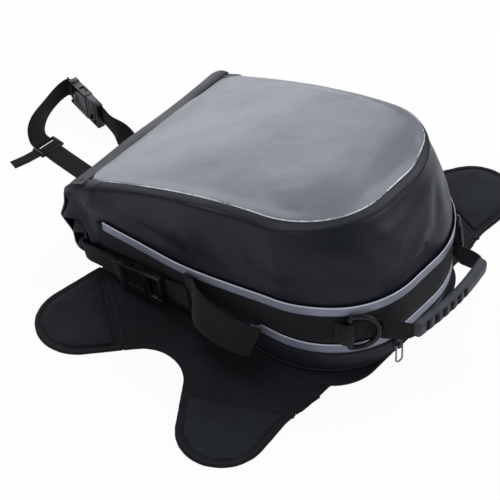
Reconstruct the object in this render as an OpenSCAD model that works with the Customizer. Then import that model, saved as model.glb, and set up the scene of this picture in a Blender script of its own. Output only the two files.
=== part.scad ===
// Soft roll-top tank bag for a motorcycle: a wedge-shaped welded PVC bag with a clear map window on
// top, a rolled front closure clipped down at both sides, a rubber carry grip and D-rings at the
// rounded rear end, and a magnetic base sheet with four flaps and a strap for the steering head.
// Millimetres. +X is the rounded rear end, the roll closure is at -X, +Z is up. The origin is the
// middle of the underside of the base.

/* [Bag body] */
// Length of the bag from the front wall to the rear end
body_length = 370; // [330:5:440]
// Width of the bag at the front edge
front_width = 248; // [225:1:280]
// Width of the bag at the rear end
rear_width = 236; // [215:1:270]
// Plan radius of the rounded rear corners
corner_radius = 98; // [70:1:105]
// Height of the top at the front edge
front_height = 104; // [98:1:125]
// Height of the top at the rear end
rear_height = 197; // [165:1:230]
// How far the rear wall leans in at the top
rear_lean = 27; // [10:1:40]
// How far the side walls lean in at the top
side_lean = 3; // [0:0.5:8]
// How far the top bulges up in the middle
top_crown = 5; // [1:0.5:12]
// Thickness of the PVC wall
wall = 2.4; // [1.2:0.2:4]
// Height of the rounded shoulder between the side walls and the top
shoulder_drop = 7; // [4:0.5:10]
// Height of the tub floor above the ground
tub_bottom = 8; // [7.5:0.5:12]

/* [Trim] */
// Height of each reflective strip
strip_height = 12; // [8:0.5:16]
// Upper reflective strip: height of its top edge at the front
strip_front_z = 78; // [72:1:84]
// Upper reflective strip: height of its top edge round the rear end
strip_rear_z = 110; // [100:1:125]
// Lower reflective strip: height of its top edge round the rear end
low_strip_rear_z = 56; // [50:1:60]
// Lower reflective strip: height of its top edge at the front
low_strip_front_z = 49; // [46:1:54]
// Thickness of the strips and of the band
trim_thickness = 1.6; // [1:0.2:2.4]
// Width of the bare border round the map window
window_border = 12; // [8:1:20]
// Thickness of the map window
window_thickness = 1.2; // [1:0.1:2]

/* [Roll closure] */
// Height of the rolled closure
roll_height = 84; // [70:1:86]
// Depth of the rolled closure, front to back
roll_depth = 40; // [32:1:44]
// Number of turns of the roll
roll_turns = 2.75; // [2:0.25:3.5]
// Thickness of the rolled sheet, both walls of the mouth together
roll_sheet = 3; // [2:0.2:3.4]
// Thickness of the stiffening strip in the mouth
stiffener_thickness = 4; // [2:0.5:5]

/* [Webbing and buckles] */
// Width of the narrow webbing
webbing_width = 25; // [20:1:28]
// Thickness of the webbing
webbing_thickness = 1.8; // [1.2:0.1:2.2]
// Width of the wide webbing
wide_webbing = 34; // [30:1:36]
// Length of a buckle's socket half
socket_length = 40; // [36:1:46]
// Thickness of a buckle
buckle_thickness = 11; // [9:0.5:13]
// Distance that a buckle's plug slides out
plug_travel = 24; // [20:1:26]
// Distance of the side buckles from the middle of the bag, towards the front
side_buckle_x = 95; // [88:1:100]
// Height of the middle of the side buckles
side_buckle_z = 31; // [28:1:34]
// Slope of the side straps
strap_slope = 8; // [0:1:10]
// Length of the loose wide strap on each side
side_tail_run = 102; // [80:1:115]
// How far the loose wide strap stands off the bag
side_tail_stand = 23; // [16:1:26]

/* [Steering-head strap] */
// Length of the near branch, from its fold to the adjuster
near_branch = 108; // [90:2:124]
// How far the loop runs on in front of the adjuster
loop_depth = 36.5; // [30:0.5:44]
// How far the loop sweeps across to the far side
loop_sweep = 83; // [76:1:92]
// Length of the loose end behind the adjuster
loose_end = 29; // [20:1:40]

/* [Rings and handle] */
// Thickness of a D-ring
ring_wire = 5; // [4:0.5:6]
// Clear height inside a D-ring
ring_clear = 39; // [34:1:41]
// Direction of the D-rings round the corner arc
ring_angle = 43; // [36:1:48]
// Length of the rubber grip
grip_length = 116; // [90:2:130]
// Thickness of the rubber grip
grip_thickness = 15; // [12:1:20]
// Height of the rubber grip
grip_height = 26; // [26:1:30]
// Lift of the handle above level
handle_lift = 20; // [5:1:30]
// Reach of the handle behind its anchors
handle_reach = 40; // [34:1:50]

/* [Base and flaps] */
// Thickness of the fabric flaps
flap_thickness = 3.2; // [2.4:0.2:4]
// Thickness of the base sheet
base_thickness = 4; // [3:0.5:4.5]
// Width of the fold lines between base, skirts and flaps
fold_gap = 3.8; // [3.2:0.2:5]
// Radius of the front flap tips
front_tip_radius = 50; // [40:1:52]
// Radius of the rear flap tips
rear_tip_radius = 48; // [40:1:52]
// How far the front flap tips lie from the middle line
front_tip_y = 196; // [186:1:205]
// How far the rear flap tips lie from the middle line
rear_tip_y = 218; // [210:1:230]
// Radius of the hollow between two flaps
valley_radius = 48; // [40:1:50]
// Thickness of the magnet pockets
pocket_thickness = 5; // [4.5:0.5:7]
// Thickness of the magnets
magnet_thickness = 3; // [2:0.25:3.25]

/* [Hidden] */

gap = 0.3;
side_steps = 14;
arc_steps = 12;
ring_count = 2 * (side_steps + arc_steps + 1);
front_x = -body_length / 2;
rear_x = body_length / 2;

// Insets of the wall from the widest outline: [side, rear, front]
tub_inset = [4, 11, 20];
waist_inset = [0, 0, 8];
shoulder_inset = [side_lean, rear_lean, 4];

// Heights along the bag
function clamp01(t) = min(max(t, 0), 1);
function ease(t) = let (c = clamp01(t)) c * c * (3 - 2 * c);
strip_rise = [-0.16 * body_length, 0.41 * body_length];
function rise(x) = ease((x - strip_rise[0]) / (strip_rise[1] - strip_rise[0]));
function strip_z(x) = strip_front_z + (strip_rear_z - strip_front_z) * rise(x);
function low_strip_z(x) = low_strip_front_z + (low_strip_rear_z - low_strip_front_z) * rise(x);
function top_z(x) = front_height + (rear_height - front_height)
    * sin(90 * clamp01((x - front_x) / (body_length - rear_lean)));

// Closed outline in plan, front left corner round the rear end to the front right corner. Point i
// and its mirror image, counted from the other end, share the same x.
function half_outline(inset) =
    let (r = corner_radius - inset[0], cx = rear_x - inset[1] - r,
         hf = front_width / 2 - inset[0], hr = rear_width / 2 - inset[0],
         xf = front_x + inset[2])
    concat([for (i = [0 : side_steps - 1]) let (t = i / side_steps)
                [xf + (cx - xf) * t, -hf + (hf - hr) * t]],
           [for (j = [0 : arc_steps]) let (a = -90 + 90 * j / arc_steps)
                [cx + r * cos(a), -hr + r + r * sin(a)]]);
function outline(inset) =
    let (h = half_outline(inset), n = len(h))
    concat(h, [for (i = [n - 1 : -1 : 0]) [h[i][0], -h[i][1]]]);
function grow(inset, d) = [for (v = inset) v - d];
function mix(a, b, t) = a + (b - a) * t;

// A ring of points over an outline, at a height given by level: "z" is a constant, "strip", "low"
// and "top" follow those lines, each with an offset
function level_z(level, x) = level[1] + (level[0] == "strip" ? strip_z(x)
    : level[0] == "low" ? low_strip_z(x) : level[0] == "top" ? top_z(x) : 0);
function ring(inset, level) = [for (p = outline(inset)) [p[0], p[1], level_z(level, p[0])]];

// Solid between rings that follow one another round a closed section, as in a picture frame
module ring_shell(rings) {
    n = len(rings[0]);
    m = len(rings);
    polyhedron(points = [for (r = rings) each r],
        faces = [for (k = [0 : m - 1], i = [0 : n - 1])
            let (a = k * n, b = ((k + 1) % m) * n, j = (i + 1) % n)
            each [[a + i, b + i, b + j], [a + i, b + j, a + j]]]);
}

// Solid plate between rings stacked from the underside to the top, closed at both ends by strips
// that run across the bag
module ring_plate(rings) {
    n = len(rings[0]);
    m = len(rings);
    last = (m - 1) * n;
    polyhedron(points = [for (r = rings) each r],
        faces = concat(
            [for (k = [0 : m - 2], i = [0 : n - 1]) let (a = k * n, b = a + n, j = (i + 1) % n)
                each [[a + i, b + i, b + j], [a + i, b + j, a + j]]],
            [for (i = [0 : n / 2 - 2]) each [[i, i + 1, n - 2 - i], [i, n - 2 - i, n - 1 - i]]],
            [for (i = [0 : n / 2 - 2]) each [[last + i, last + n - 2 - i, last + i + 1],
                [last + i, last + n - 1 - i, last + n - 2 - i]]]));
}

// Band round the bag between two levels, standing off the widest outline by near and far distances
module band_ring(level_low, level_high, inner, outer, inset_low, inset_high) {
    ring_shell([ring(grow(inset_low, inner), level_low), ring(grow(inset_low, outer), level_low),
        ring(grow(inset_high, outer), level_high), ring(grow(inset_high, inner), level_high)]);
}

// Flat strip of webbing along a path in plan: polygon of even width
function unit(v) = v / norm(v);
function heading(path, i) =
    let (a = path[max(i - 1, 0)], b = path[min(i + 1, len(path) - 1)]) unit(b - a);
function left_of(v) = [-v[1], v[0]];
module ribbon(path, width) {
    n = len(path);
    side = [for (i = [0 : n - 1]) left_of(heading(path, i)) * width / 2];
    polygon(concat([for (i = [0 : n - 1]) path[i] + side[i]],
        [for (i = [n - 1 : -1 : 0]) path[i] - side[i]]));
}
function arc(centre, r, from, to, steps) = [for (i = [0 : steps])
    let (a = mix(from, to, i / steps)) centre + r * [cos(a), sin(a)]];

module far_side() { mirror([0, 1, 0]) children(); }

/* ---- bag body ---- */

// The upper and the lower wall meet behind the middle band, this far below the upper strip
wall_seam = 14;
// Height over which the tub's hem curves in to the base
tub_curve = 16;
module upper_wall() {
    low = ring(waist_inset, ["strip", -strip_height - wall_seam]);
    waist = ring(waist_inset, ["strip", 0]);
    shoulder = ring(shoulder_inset, ["top", -shoulder_drop]);
    in_low = ring(grow(waist_inset, -wall), ["strip", -strip_height - wall_seam]);
    in_waist = ring(grow(waist_inset, -wall), ["strip", 0]);
    in_shoulder = ring(grow(shoulder_inset, -wall), ["top", -shoulder_drop]);
    belly = ring([side_lean * 0.2 - 2, rear_lean * 0.22, 6], ["strip", 0]);
    color("#24262b") ring_shell([
        low, waist,
        [for (i = [0 : ring_count - 1]) [belly[i][0], belly[i][1], mix(waist[i][2], shoulder[i][2], 0.4)]],
        [for (i = [0 : ring_count - 1]) mix(belly[i], shoulder[i], 0.5)
            + [0, 0, mix(waist[i][2], shoulder[i][2], 0.76) - mix(belly[i][2], shoulder[i][2], 0.5)]],
        shoulder, in_shoulder, in_waist, in_low]);
}

function tub_at(z) = let (t = clamp01((z - tub_bottom) / tub_curve))
    [mix(tub_inset[0], 0, 0.7 * t), mix(tub_inset[1], 0, 0.75 * t), mix(tub_inset[2], 12, t)];
module lower_wall() {
    color("#1d1f24") ring_shell([
        ring(tub_inset, ["z", tub_bottom]),
        ring(tub_at(tub_bottom + tub_curve), ["z", tub_bottom + tub_curve]),
        ring(waist_inset, ["low", -strip_height]),
        ring(waist_inset, ["strip", -strip_height - wall_seam - gap]),
        ring(grow(waist_inset, -wall), ["strip", -strip_height - wall_seam - gap]),
        ring(grow(waist_inset, -wall), ["low", -strip_height]),
        ring(grow(tub_inset, -wall - 3), ["z", tub_bottom])]);
}

window_inset = [side_lean + window_border, rear_lean + window_border, window_border - 2];
crown_inset = [front_width * 0.24, rear_lean + 60, 60];
module top_panel() {
    edge_inset = [side_lean + window_border * 0.45, rear_lean + window_border * 0.4, 4];
    color("#2b2e34") ring_plate([
        ring(crown_inset, ["top", top_crown - wall]),
        ring(window_inset, ["top", -wall]),
        ring(grow(shoulder_inset, -wall), ["top", gap - shoulder_drop]),
        ring(shoulder_inset, ["top", gap - shoulder_drop]),
        ring(edge_inset, ["top", -shoulder_drop * 0.28]),
        ring(window_inset, ["top", 0]),
        ring(crown_inset, ["top", top_crown])]);
}

module map_window() {
    color("#8a8d93") ring_plate([
        ring(crown_inset, ["top", top_crown + gap]),
        ring(window_inset, ["top", gap]),
        ring(window_inset, ["top", gap + window_thickness]),
        ring(crown_inset, ["top", top_crown + gap + window_thickness])]);
}

trim_out = gap + trim_thickness;
module upper_reflective_strip() {
    color("#8d8d9b") band_ring(["strip", -strip_height], ["strip", 0],
        gap, trim_out + 0.8, waist_inset, waist_inset);
}

module middle_band() {
    color("#26262a") band_ring(["low", gap], ["strip", -strip_height - gap],
        gap, trim_out, waist_inset, waist_inset);
}

module lower_reflective_strip() {
    color("#8d8d9b") band_ring(["low", -strip_height], ["low", 0],
        gap, trim_out + 0.8, waist_inset, waist_inset);
}

/* ---- expansion zip, just below the lower strip ---- */

zip_tape_height = 10;
zip_coil_size = 2.4;
zip_drop = strip_height + gap;
module zip_tape() {
    color("#141518") band_ring(["low", -zip_drop - zip_tape_height], ["low", -zip_drop],
        gap, gap + 0.8, waist_inset, waist_inset);
}

coil_out = 2 * gap + 1.4;
module zip_coil() {
    mid = -zip_drop - zip_tape_height / 2;
    color("#0d0d0f") band_ring(["low", mid - zip_coil_size / 2], ["low", mid + zip_coil_size / 2],
        coil_out, coil_out + 1.6, waist_inset, waist_inset);
}

// Places its children on the near rear corner arc: local +X is outward, +Y runs towards the far side
corner_centre = [rear_x - corner_radius, rear_width / 2 - corner_radius];
module on_corner(angle, z) {
    translate([corner_centre[0], -corner_centre[1], z]) rotate([0, 0, angle])
        translate([corner_radius, 0, 0]) children();
}

slider_angle = -14;
slider_out = coil_out + 1.6 + gap;
slider_z = low_strip_rear_z - zip_drop - zip_tape_height / 2;
slider_size = [3.4, 10, 8];
puller_wire = 2;
lug = [puller_wire + 3, 4.8, puller_wire + 3];
puller_x = slider_out + slider_size[0] + lug[0] / 2 + 0.2;
module zip_slider() {
    color("#3c3d41") on_corner(slider_angle, slider_z) difference() {
        union() {
            translate([slider_out, -slider_size[1] / 2, -slider_size[2] / 2]) cube(slider_size);
            translate([slider_out + slider_size[0] - 0.1, -lug[1] / 2, -lug[2] / 2]) cube(lug);
        }
        translate([puller_x, 0, 0]) rotate([90, 0, 0])
            cylinder(d = puller_wire + 0.6, h = lug[1] + 2, center = true, $fn = 32);
    }
}

puller_length = 20;
puller_half = lug[1] / 2 + puller_wire / 2 + 0.6;
module zip_puller() {
    color("#8b8c90") on_corner(slider_angle, slider_z) translate([puller_x, 0, 0]) {
        rotate([90, 0, 0]) cylinder(d = puller_wire, h = 2 * puller_half, center = true, $fn = 32);
        for (s = [-1, 1]) translate([0, s * puller_half, -puller_length])
            cylinder(d = puller_wire, h = puller_length, $fn = 32);
        translate([0, 0, -puller_length]) rotate([-90, 0, 90])
            rotate_extrude(angle = 180, $fn = 32) translate([puller_half, 0])
                circle(d = puller_wire, $fn = 24);
        for (s = [-1, 1]) translate([0, s * puller_half, 0]) sphere(d = puller_wire, $fn = 24);
    }
}

/* ---- base ---- */

pad_thickness = 1.4;
board_thickness = 3;
base_level = pad_thickness + gap;
module base_board() {
    color("#17181b") ring_plate([
        ring(grow(tub_inset, -wall - 5), ["z", tub_bottom + gap]),
        ring(grow(tub_inset, -wall - 5), ["z", tub_bottom + gap + board_thickness])]);
}

base_corner = 55;
base_front_set = 18;
base_side_set = 6;
module base_outline(inset) {
    r = base_corner - inset;
    x = rear_x - tub_inset[1] - r - inset;
    y = rear_width / 2 - r - inset;
    f = front_x + base_front_set + inset;
    w = front_width / 2 - base_side_set - inset;
    polygon(concat([[f, -w]], arc([x, -y], r, -90, 0, 10), arc([x, y], r, 0, 90, 10), [[f, w]]));
}

module base_sheet() {
    color("#1b1c1f") translate([0, 0, base_level]) linear_extrude(base_thickness) base_outline(0);
}

module base_pad() {
    color("#101113") linear_extrude(pad_thickness) base_outline(base_side_set);
}

module base_zip() {
    low = base_level + base_thickness + gap;
    out = tub_bottom + 3;
    top = tub_bottom + 4;
    color("#141518") ring_shell([
        ring(grow(tub_inset, gap), ["z", low]), ring(grow(tub_inset, gap + 3), ["z", low]),
        ring(grow(tub_at(out), gap + 3), ["z", out]),
        ring(grow(tub_at(top), gap + 1), ["z", top]),
        ring(grow(tub_at(out), gap + 0.1), ["z", out])]);
}

/* ---- roll closure ---- */

roll_centre = [front_x - 16, roll_height / 2 + 4.4];
roll_length = front_width - 6;
roll_pitch = (roll_sheet + 1.1);
function roll_point(t, d) = let (a = 80 + 360 * t, in = roll_pitch * t)
    roll_centre + [(roll_depth / 2 - roll_sheet / 2 - in + d) * cos(a),
                   (roll_height / 2 - roll_sheet / 2 - in + d) * sin(a)];
module roll_closure() {
    steps = ceil(28 * roll_turns);
    color("#24262b") translate([0, roll_length / 2, 0]) rotate([90, 0, 0]) linear_extrude(roll_length)
        polygon(concat(
            [[front_x + 1, roll_height + 13], [front_x + 1, roll_height + 10.4]],
            [for (i = [0 : steps]) roll_point(roll_turns * i / steps, -roll_sheet / 2)],
            [for (i = [steps : -1 : 0]) roll_point(roll_turns * i / steps, roll_sheet / 2)]));
}

module mouth_stiffener() {
    height = roll_height - 2 * (roll_turns + 1) * roll_pitch - 4;
    color("#2c2d31") translate([roll_centre[0] - stiffener_thickness / 2, -roll_length / 2 + 4,
        roll_centre[1] - height / 2]) cube([stiffener_thickness, roll_length - 8, height]);
}

/* ---- side-release buckles: the strap runs along X, the outer face is towards -Y ---- */

buckle_width = webbing_width + 9;
slot_half = webbing_width / 2 + 0.8;
shell = 1.8;
// The bar that the webbing wraps round, and the way of the webbing's middle round it
bar = [3, 3.2];
wrap = gap + webbing_thickness / 2;
cavity = [socket_length - 12, buckle_thickness - 2 * shell, buckle_width - 2 * shell];
socket_bar = -socket_length / 2 + 2;
module socket() {
    difference() {
        translate([-socket_length / 2, -buckle_thickness / 2, -buckle_width / 2])
            cube([socket_length, buckle_thickness, buckle_width]);
        translate([socket_length / 2 - cavity[0], -cavity[1] / 2, -cavity[2] / 2])
            cube([cavity[0] + 1, cavity[1], cavity[2]]);
        for (s = [-1, 1]) translate([socket_length / 2 - 19, -cavity[1] / 2 + 0.6,
            s * buckle_width / 2 - 4]) cube([12, cavity[1] - 1.2, 8]);
        translate([-socket_length / 2 - 1, -buckle_thickness, -slot_half])
            cube([9.4, 2 * buckle_thickness, 2 * slot_half]);
    }
    translate([socket_bar - bar[0] / 2, -bar[1] / 2, -buckle_width / 2 + 1])
        cube([bar[0], bar[1], buckle_width - 2]);
}

plug_thickness = cavity[1] - 0.8;
ladder_length = 24;
ladder_bar_half = 2.2;
module plug() {
    x0 = socket_length / 2 + gap;
    difference() {
        translate([x0, -buckle_thickness / 2 + 0.6, -buckle_width / 2])
            cube([ladder_length, buckle_thickness - 1.2, buckle_width]);
        for (d = [5, 14]) translate([x0 + d, -buckle_thickness, -slot_half])
            cube([5.4, 2 * buckle_thickness, 2 * slot_half]);
        for (s = [-1, 1]) translate([x0 + 4, s * (ladder_bar_half + buckle_thickness / 2)
            - buckle_thickness / 2, -slot_half]) cube([ladder_length, buckle_thickness, 2 * slot_half]);
    }
    translate([x0 - 20, -plug_thickness / 2, -4]) cube([20.1, plug_thickness, 8]);
    for (s = [-1, 1]) translate([0, 0, s * (cavity[2] / 2 - 3.6)]) {
        translate([x0 - 22, -plug_thickness / 2, -2]) cube([22.1, plug_thickness, 4]);
        translate([x0 - 18, -plug_thickness / 2, -3]) cube([9, plug_thickness, 6]);
    }
}

side_buckle_y = front_width / 2 + trim_out + 2 + buckle_thickness / 2;
module at_side_buckle() {
    translate([-side_buckle_x, -side_buckle_y, side_buckle_z]) rotate([0, -strap_slope, 0])
        children();
}

module near_buckle_socket() { color("#17181a") at_side_buckle() socket(); }
module far_buckle_socket() { color("#17181a") far_side() at_side_buckle() socket(); }
module near_buckle_plug() { color("#17181a") at_side_buckle() plug(); }
module far_buckle_plug() { color("#17181a") far_side() at_side_buckle() plug(); }

// Webbing from the end of the roll through the socket's slot and back on itself
module webbing_along(path) {
    translate([0, 0, -webbing_width / 2]) linear_extrude(webbing_width)
        ribbon(path, webbing_thickness);
}

// Way of the webbing round a socket's bar, from the bag's side to the outer side
bar_way = [[socket_bar - 5, bar[1] / 2 + wrap], [socket_bar + bar[0] / 2 + wrap, bar[1] / 2 + wrap],
    [socket_bar + bar[0] / 2 + wrap, -bar[1] / 2 - wrap], [socket_bar - 4, -bar[1] / 2 - wrap]];
module roll_strap() {
    lie = bar[1] / 2 + wrap + 0.4;
    back = lie - webbing_thickness - 3 * gap;
    roll_end = side_buckle_x - body_length / 2 - 14;
    color("#1a1a1d") at_side_buckle() webbing_along(concat([[roll_end, lie + 0.8],
        [roll_end + 30, lie]], bar_way, [[socket_bar - 8, back], [socket_bar - 30, back]]));
}
module near_roll_strap() { roll_strap(); }
module far_roll_strap() { far_side() roll_strap(); }

// Webbing from the plug's ladder to where it is sewn to the band
ladder_slot = socket_length / 2 + gap + 16.7;
anchor_x = socket_length / 2 + ladder_length + 30;
// Way of the webbing out of the ladder's slot and under its end bar
ladder_way = [[ladder_slot - 0.8, 0], [ladder_slot + 1.6, ladder_bar_half + wrap + 0.6],
    [ladder_slot + 9, ladder_bar_half + wrap + 0.8]];
module side_strap() {
    lie = buckle_thickness / 2 - 0.2;
    color("#1a1a1d") at_side_buckle() webbing_along(concat(ladder_way,
        [[anchor_x - 14, lie], [anchor_x, lie]]));
}
module near_side_strap() { side_strap(); }
module far_side_strap() { far_side() side_strap(); }

// Loose end of the wide webbing, sewn to the band behind the side strap: it curves out and hangs
tail_start = [-side_buckle_x + anchor_x + 2, -front_width / 2 - trim_out - 1.4];
tail_z = (low_strip_rear_z + strip_front_z - strip_height) / 2 - 3;
tail_lean = 6;
// Shares of the tail's run and of how far it stands off
tail_shape = [[0, 0], [0.07, 0.09], [0.18, 0.52], [0.35, 0.87], [0.61, 1], [0.84, 0.91], [1, 0.7]];
module strap_tail() {
    color("#1a1a1d") translate([tail_start[0], tail_start[1], tail_z])
        rotate([tail_lean, 0, 0])
        translate([0, 0, -wide_webbing / 2]) linear_extrude(wide_webbing)
            ribbon([for (p = tail_shape) [p[0] * side_tail_run, -p[1] * side_tail_stand]],
                webbing_thickness);
}
module near_strap_tail() { strap_tail(); }
module far_strap_tail() { far_side() strap_tail(); }

/* ---- D-rings on webbing loops ---- */

band_mid_z = (low_strip_rear_z + strip_rear_z - strip_height) / 2;
ring_x = trim_out + gap + webbing_thickness + ring_wire / 2 + gap;
loop_r = ring_wire / 2 + gap + webbing_thickness / 2;
module at_ring() { on_corner(-ring_angle, band_mid_z) children(); }

module ring_loop() {
    back = ring_x - loop_r;
    color("#1c1c1f") at_ring() translate([0, 0, -ring_clear / 2 + 2]) linear_extrude(ring_clear - 4)
        ribbon(concat([[back - 3.6, -27], [back - 1, -14], [back - 0.2, -5]],
            arc([ring_x, 0], loop_r, 180, 0, 12),
            [[ring_x + loop_r - 0.6, -5], [back + webbing_thickness + 1.2, -14],
             [back - 3.2 + webbing_thickness, -27]]), webbing_thickness);
}
module near_ring_loop() { ring_loop(); }
module far_ring_loop() { far_side() ring_loop(); }

ring_straight = 8;
module d_ring() {
    half = (ring_clear + ring_wire) / 2;
    color("#1a1b1e") at_ring() translate([ring_x, 0, 0]) {
        cylinder(d = ring_wire, h = 2 * half, center = true, $fn = 48);
        for (s = [-1, 1]) translate([0, 0, s * half]) {
            sphere(d = ring_wire, $fn = 48);
            rotate([-90, 0, 0]) cylinder(d = ring_wire, h = ring_straight, $fn = 48);
        }
        translate([0, ring_straight, 0]) rotate([0, 90, 0]) rotate_extrude(angle = 180, $fn = 64)
            translate([half, 0]) circle(d = ring_wire, $fn = 48);
    }
}
module near_d_ring() { d_ring(); }
module far_d_ring() { far_side() d_ring(); }

/* ---- carry handle at the rear end ---- */

handle_z = band_mid_z;
anchor_angle = 17;
anchor_point = [corner_centre[0] + (corner_radius + trim_out) * cos(anchor_angle),
    corner_centre[1] + (corner_radius + trim_out) * sin(anchor_angle)];
handle_x = anchor_point[0] + 5;
module handle_anchor() {
    r = corner_radius + trim_out + gap + webbing_thickness / 2;
    color("#1c1c1f") translate([corner_centre[0], -corner_centre[1], handle_z - webbing_width / 2])
        linear_extrude(webbing_width)
            ribbon(arc([0, 0], r, -anchor_angle - 13, -anchor_angle - 1, 6), webbing_thickness);
}
module near_handle_anchor() { handle_anchor(); }
module far_handle_anchor() { far_side() handle_anchor(); }

// The moving handle is drawn level, then lifted about its hinge line
module lifted() {
    translate([handle_x, 0, handle_z]) rotate([0, -handle_lift, 0]) children();
}
grip_end = [handle_reach - 7, grip_length / 2];
// The webbing narrows to a stitched neck where it bends at its anchor
neck = [0.5, 11];
neck_half = 4.5;
module handle_webbing() {
    half = webbing_width / 2;
    color("#1c1c1f") lifted() intersection() {
        webbing_along([[1, -anchor_point[1] + 1], [6, -anchor_point[1] - 6],
            [14, -anchor_point[1] - 7], [grip_end[0] - 6, -grip_end[1] - 5],
            [grip_end[0], -grip_end[1] - gap - webbing_thickness / 2]]);
        rotate([90, 0, 0]) linear_extrude(2 * front_width, center = true)
            polygon([[neck[0], -neck_half], [neck[1], -half], [handle_reach + 20, -half],
                [handle_reach + 20, half], [neck[1], half], [neck[0], neck_half]]);
    }
}
module near_handle_webbing() { handle_webbing(); }
module far_handle_webbing() { far_side() handle_webbing(); }

// Rubber grip: an oval bar along an arc, with finger grooves on its outer face
grip_steps = 36;
grip_sides = 14;
grip_grooves = 5;
function grip_centre(t) = [grip_end[0] + (handle_reach - grip_end[0]) * sin(180 * t),
    grip_length * (t - 0.5)];
function groove(t) = t < 0.08 || t > 0.72 ? 0 : 2.2 * (0.5 - 0.5 * cos(360 * grip_grooves
    * (t - 0.08) / 0.64));
function grip_ring(t) = [for (k = [0 : grip_sides - 1])
    let (a = 360 * k / grip_sides, c = grip_centre(t), out = cos(a) > 0 ? groove(t) : 0,
         cap = t < 0.01 || t > 0.99 ? 0.82 : 1,
         rx = (grip_thickness / 2) * cap - out)
    [c[0] + rx * sign(cos(a)) * pow(abs(cos(a)), 0.7), c[1],
     grip_height / 2 * cap * sign(sin(a)) * pow(abs(sin(a)), 0.7)]];
module handle_grip() {
    rings = [for (i = [0 : grip_steps]) grip_ring(i / grip_steps)];
    color("#33353a") lifted() polyhedron(points = [for (r = rings) each r],
        faces = concat([[for (k = [grip_sides - 1 : -1 : 0]) k]],
            [for (i = [0 : grip_steps - 1], k = [0 : grip_sides - 1])
                let (a = i * grip_sides, b = a + grip_sides, j = (k + 1) % grip_sides)
                each [[a + k, a + j, b + j], [a + k, b + j, b + k]]],
            [[for (k = [0 : grip_sides - 1]) grip_steps * grip_sides + k]]));
}

/* ---- skirts, flaps and magnets: one sheet on each side, folded along three lines ---- */

fold_y = front_width / 2 + 1;
root_front_set = 29;
root_rear_set = 38;
front_tip_set = 68;
rear_tip_set = 84;
valley_reach = 29;
root_front = front_x + root_front_set;
root_rear = rear_x - root_rear_set;
front_tip = [front_x + front_tip_set, -front_tip_y];
rear_tip = [rear_x - rear_tip_set, -rear_tip_y];
valley = [-9, -front_tip_y - valley_reach];
module side_outline() {
    polygon(concat([[root_front + 2, -fold_y], [root_front, -fold_y - 2]],
        arc(front_tip, front_tip_radius, 172, 316, 18),
        arc(valley, valley_radius, 128, 42, 12),
        arc(rear_tip, rear_tip_radius, 215, 366, 18),
        [[root_rear - 2, -fold_y - 46], [root_rear + 1, -fold_y - 20], [root_rear + 4, -fold_y]]));
}

// Wider than the whole sheet, for the squares that cut it along its folds
field = body_length;
// The fold lines of the two flaps: a point on the line and the direction of the line
front_fold = [[front_x + root_front_set + 2, -fold_y], -36.5];
rear_fold = [[root_rear, -fold_y - 32], 23];
module beyond(fold, distance) {
    translate(fold[0]) rotate(fold[1]) translate([-field, -field - distance])
        square([2 * field, field]);
}
module before(fold, distance) {
    translate(fold[0]) rotate(fold[1]) translate([-field, distance]) square([2 * field, field]);
}

module outside_fold() {
    translate([-field, -fold_y - field - fold_gap / 2]) square([2 * field, field]);
}

module skirt() {
    color("#1b1c1f") linear_extrude(flap_thickness) intersection() {
        side_outline();
        outside_fold();
        before(front_fold, fold_gap / 2);
        before(rear_fold, fold_gap / 2);
    }
}

module flap(fold) {
    color("#1b1c1f") linear_extrude(flap_thickness) intersection() {
        side_outline();
        outside_fold();
        beyond(fold, fold_gap / 2);
    }
}

// A pocket on top of each flap holds a magnet
pocket_margin = 9;
magnet_size = [54, 34];
pocket_wall = 0.8;
pocket_from_fold = 14;
module pocket(tip, r, fold) {
    inner = r - pocket_margin;
    color("#2a2d33") difference() {
        translate([0, 0, flap_thickness + 0.1]) for (step = [0 : 2]) {
            rim = [0, 1.4, 4][step];
            linear_extrude(pocket_thickness * [0.55, 0.82, 1][step]) intersection() {
                translate(tip) hull() {
                    circle(inner - rim, $fn = 64);
                    rotate(fold[1]) translate([0, r * 0.55])
                        square([1.5 * inner - 2 * rim, 1], center = true);
                }
                beyond(fold, pocket_from_fold + rim);
            }
        }
        magnet_block(tip, fold[1], gap);
    }
}
module magnet_block(tip, turn, clearance) {
    translate([tip[0], tip[1], flap_thickness + 0.1 + pocket_wall - clearance]) rotate(turn)
        translate([-magnet_size[0] / 2 - clearance, -magnet_size[1] / 2 - clearance, 0])
            cube([magnet_size[0] + 2 * clearance, magnet_size[1] + 2 * clearance,
                magnet_thickness + 2 * clearance]);
}
module magnet(tip, turn) { color("#4a4c50") magnet_block(tip, turn, 0); }

module near_skirt() { skirt(); }
module near_front_flap() { flap(front_fold); }
module near_rear_flap() { flap(rear_fold); }
module near_front_pocket() { pocket(front_tip, front_tip_radius, front_fold); }
module near_rear_pocket() { pocket(rear_tip, rear_tip_radius, rear_fold); }
module near_front_magnet() { magnet(front_tip, front_fold[1]); }
module near_rear_magnet() { magnet(rear_tip, rear_fold[1]); }
module far_skirt() { far_side() skirt(); }
module far_front_flap() { far_side() flap(front_fold); }
module far_rear_flap() { far_side() flap(rear_fold); }
module far_front_pocket() { far_side() pocket(front_tip, front_tip_radius, front_fold); }
module far_rear_pocket() { far_side() pocket(rear_tip, rear_tip_radius, rear_fold); }
module far_front_magnet() { far_side() magnet(front_tip, front_fold[1]); }
module far_rear_magnet() { far_side() magnet(rear_tip, rear_fold[1]); }

/* ---- steering-head strap, lying on the ground in front of the bag ---- */

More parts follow.
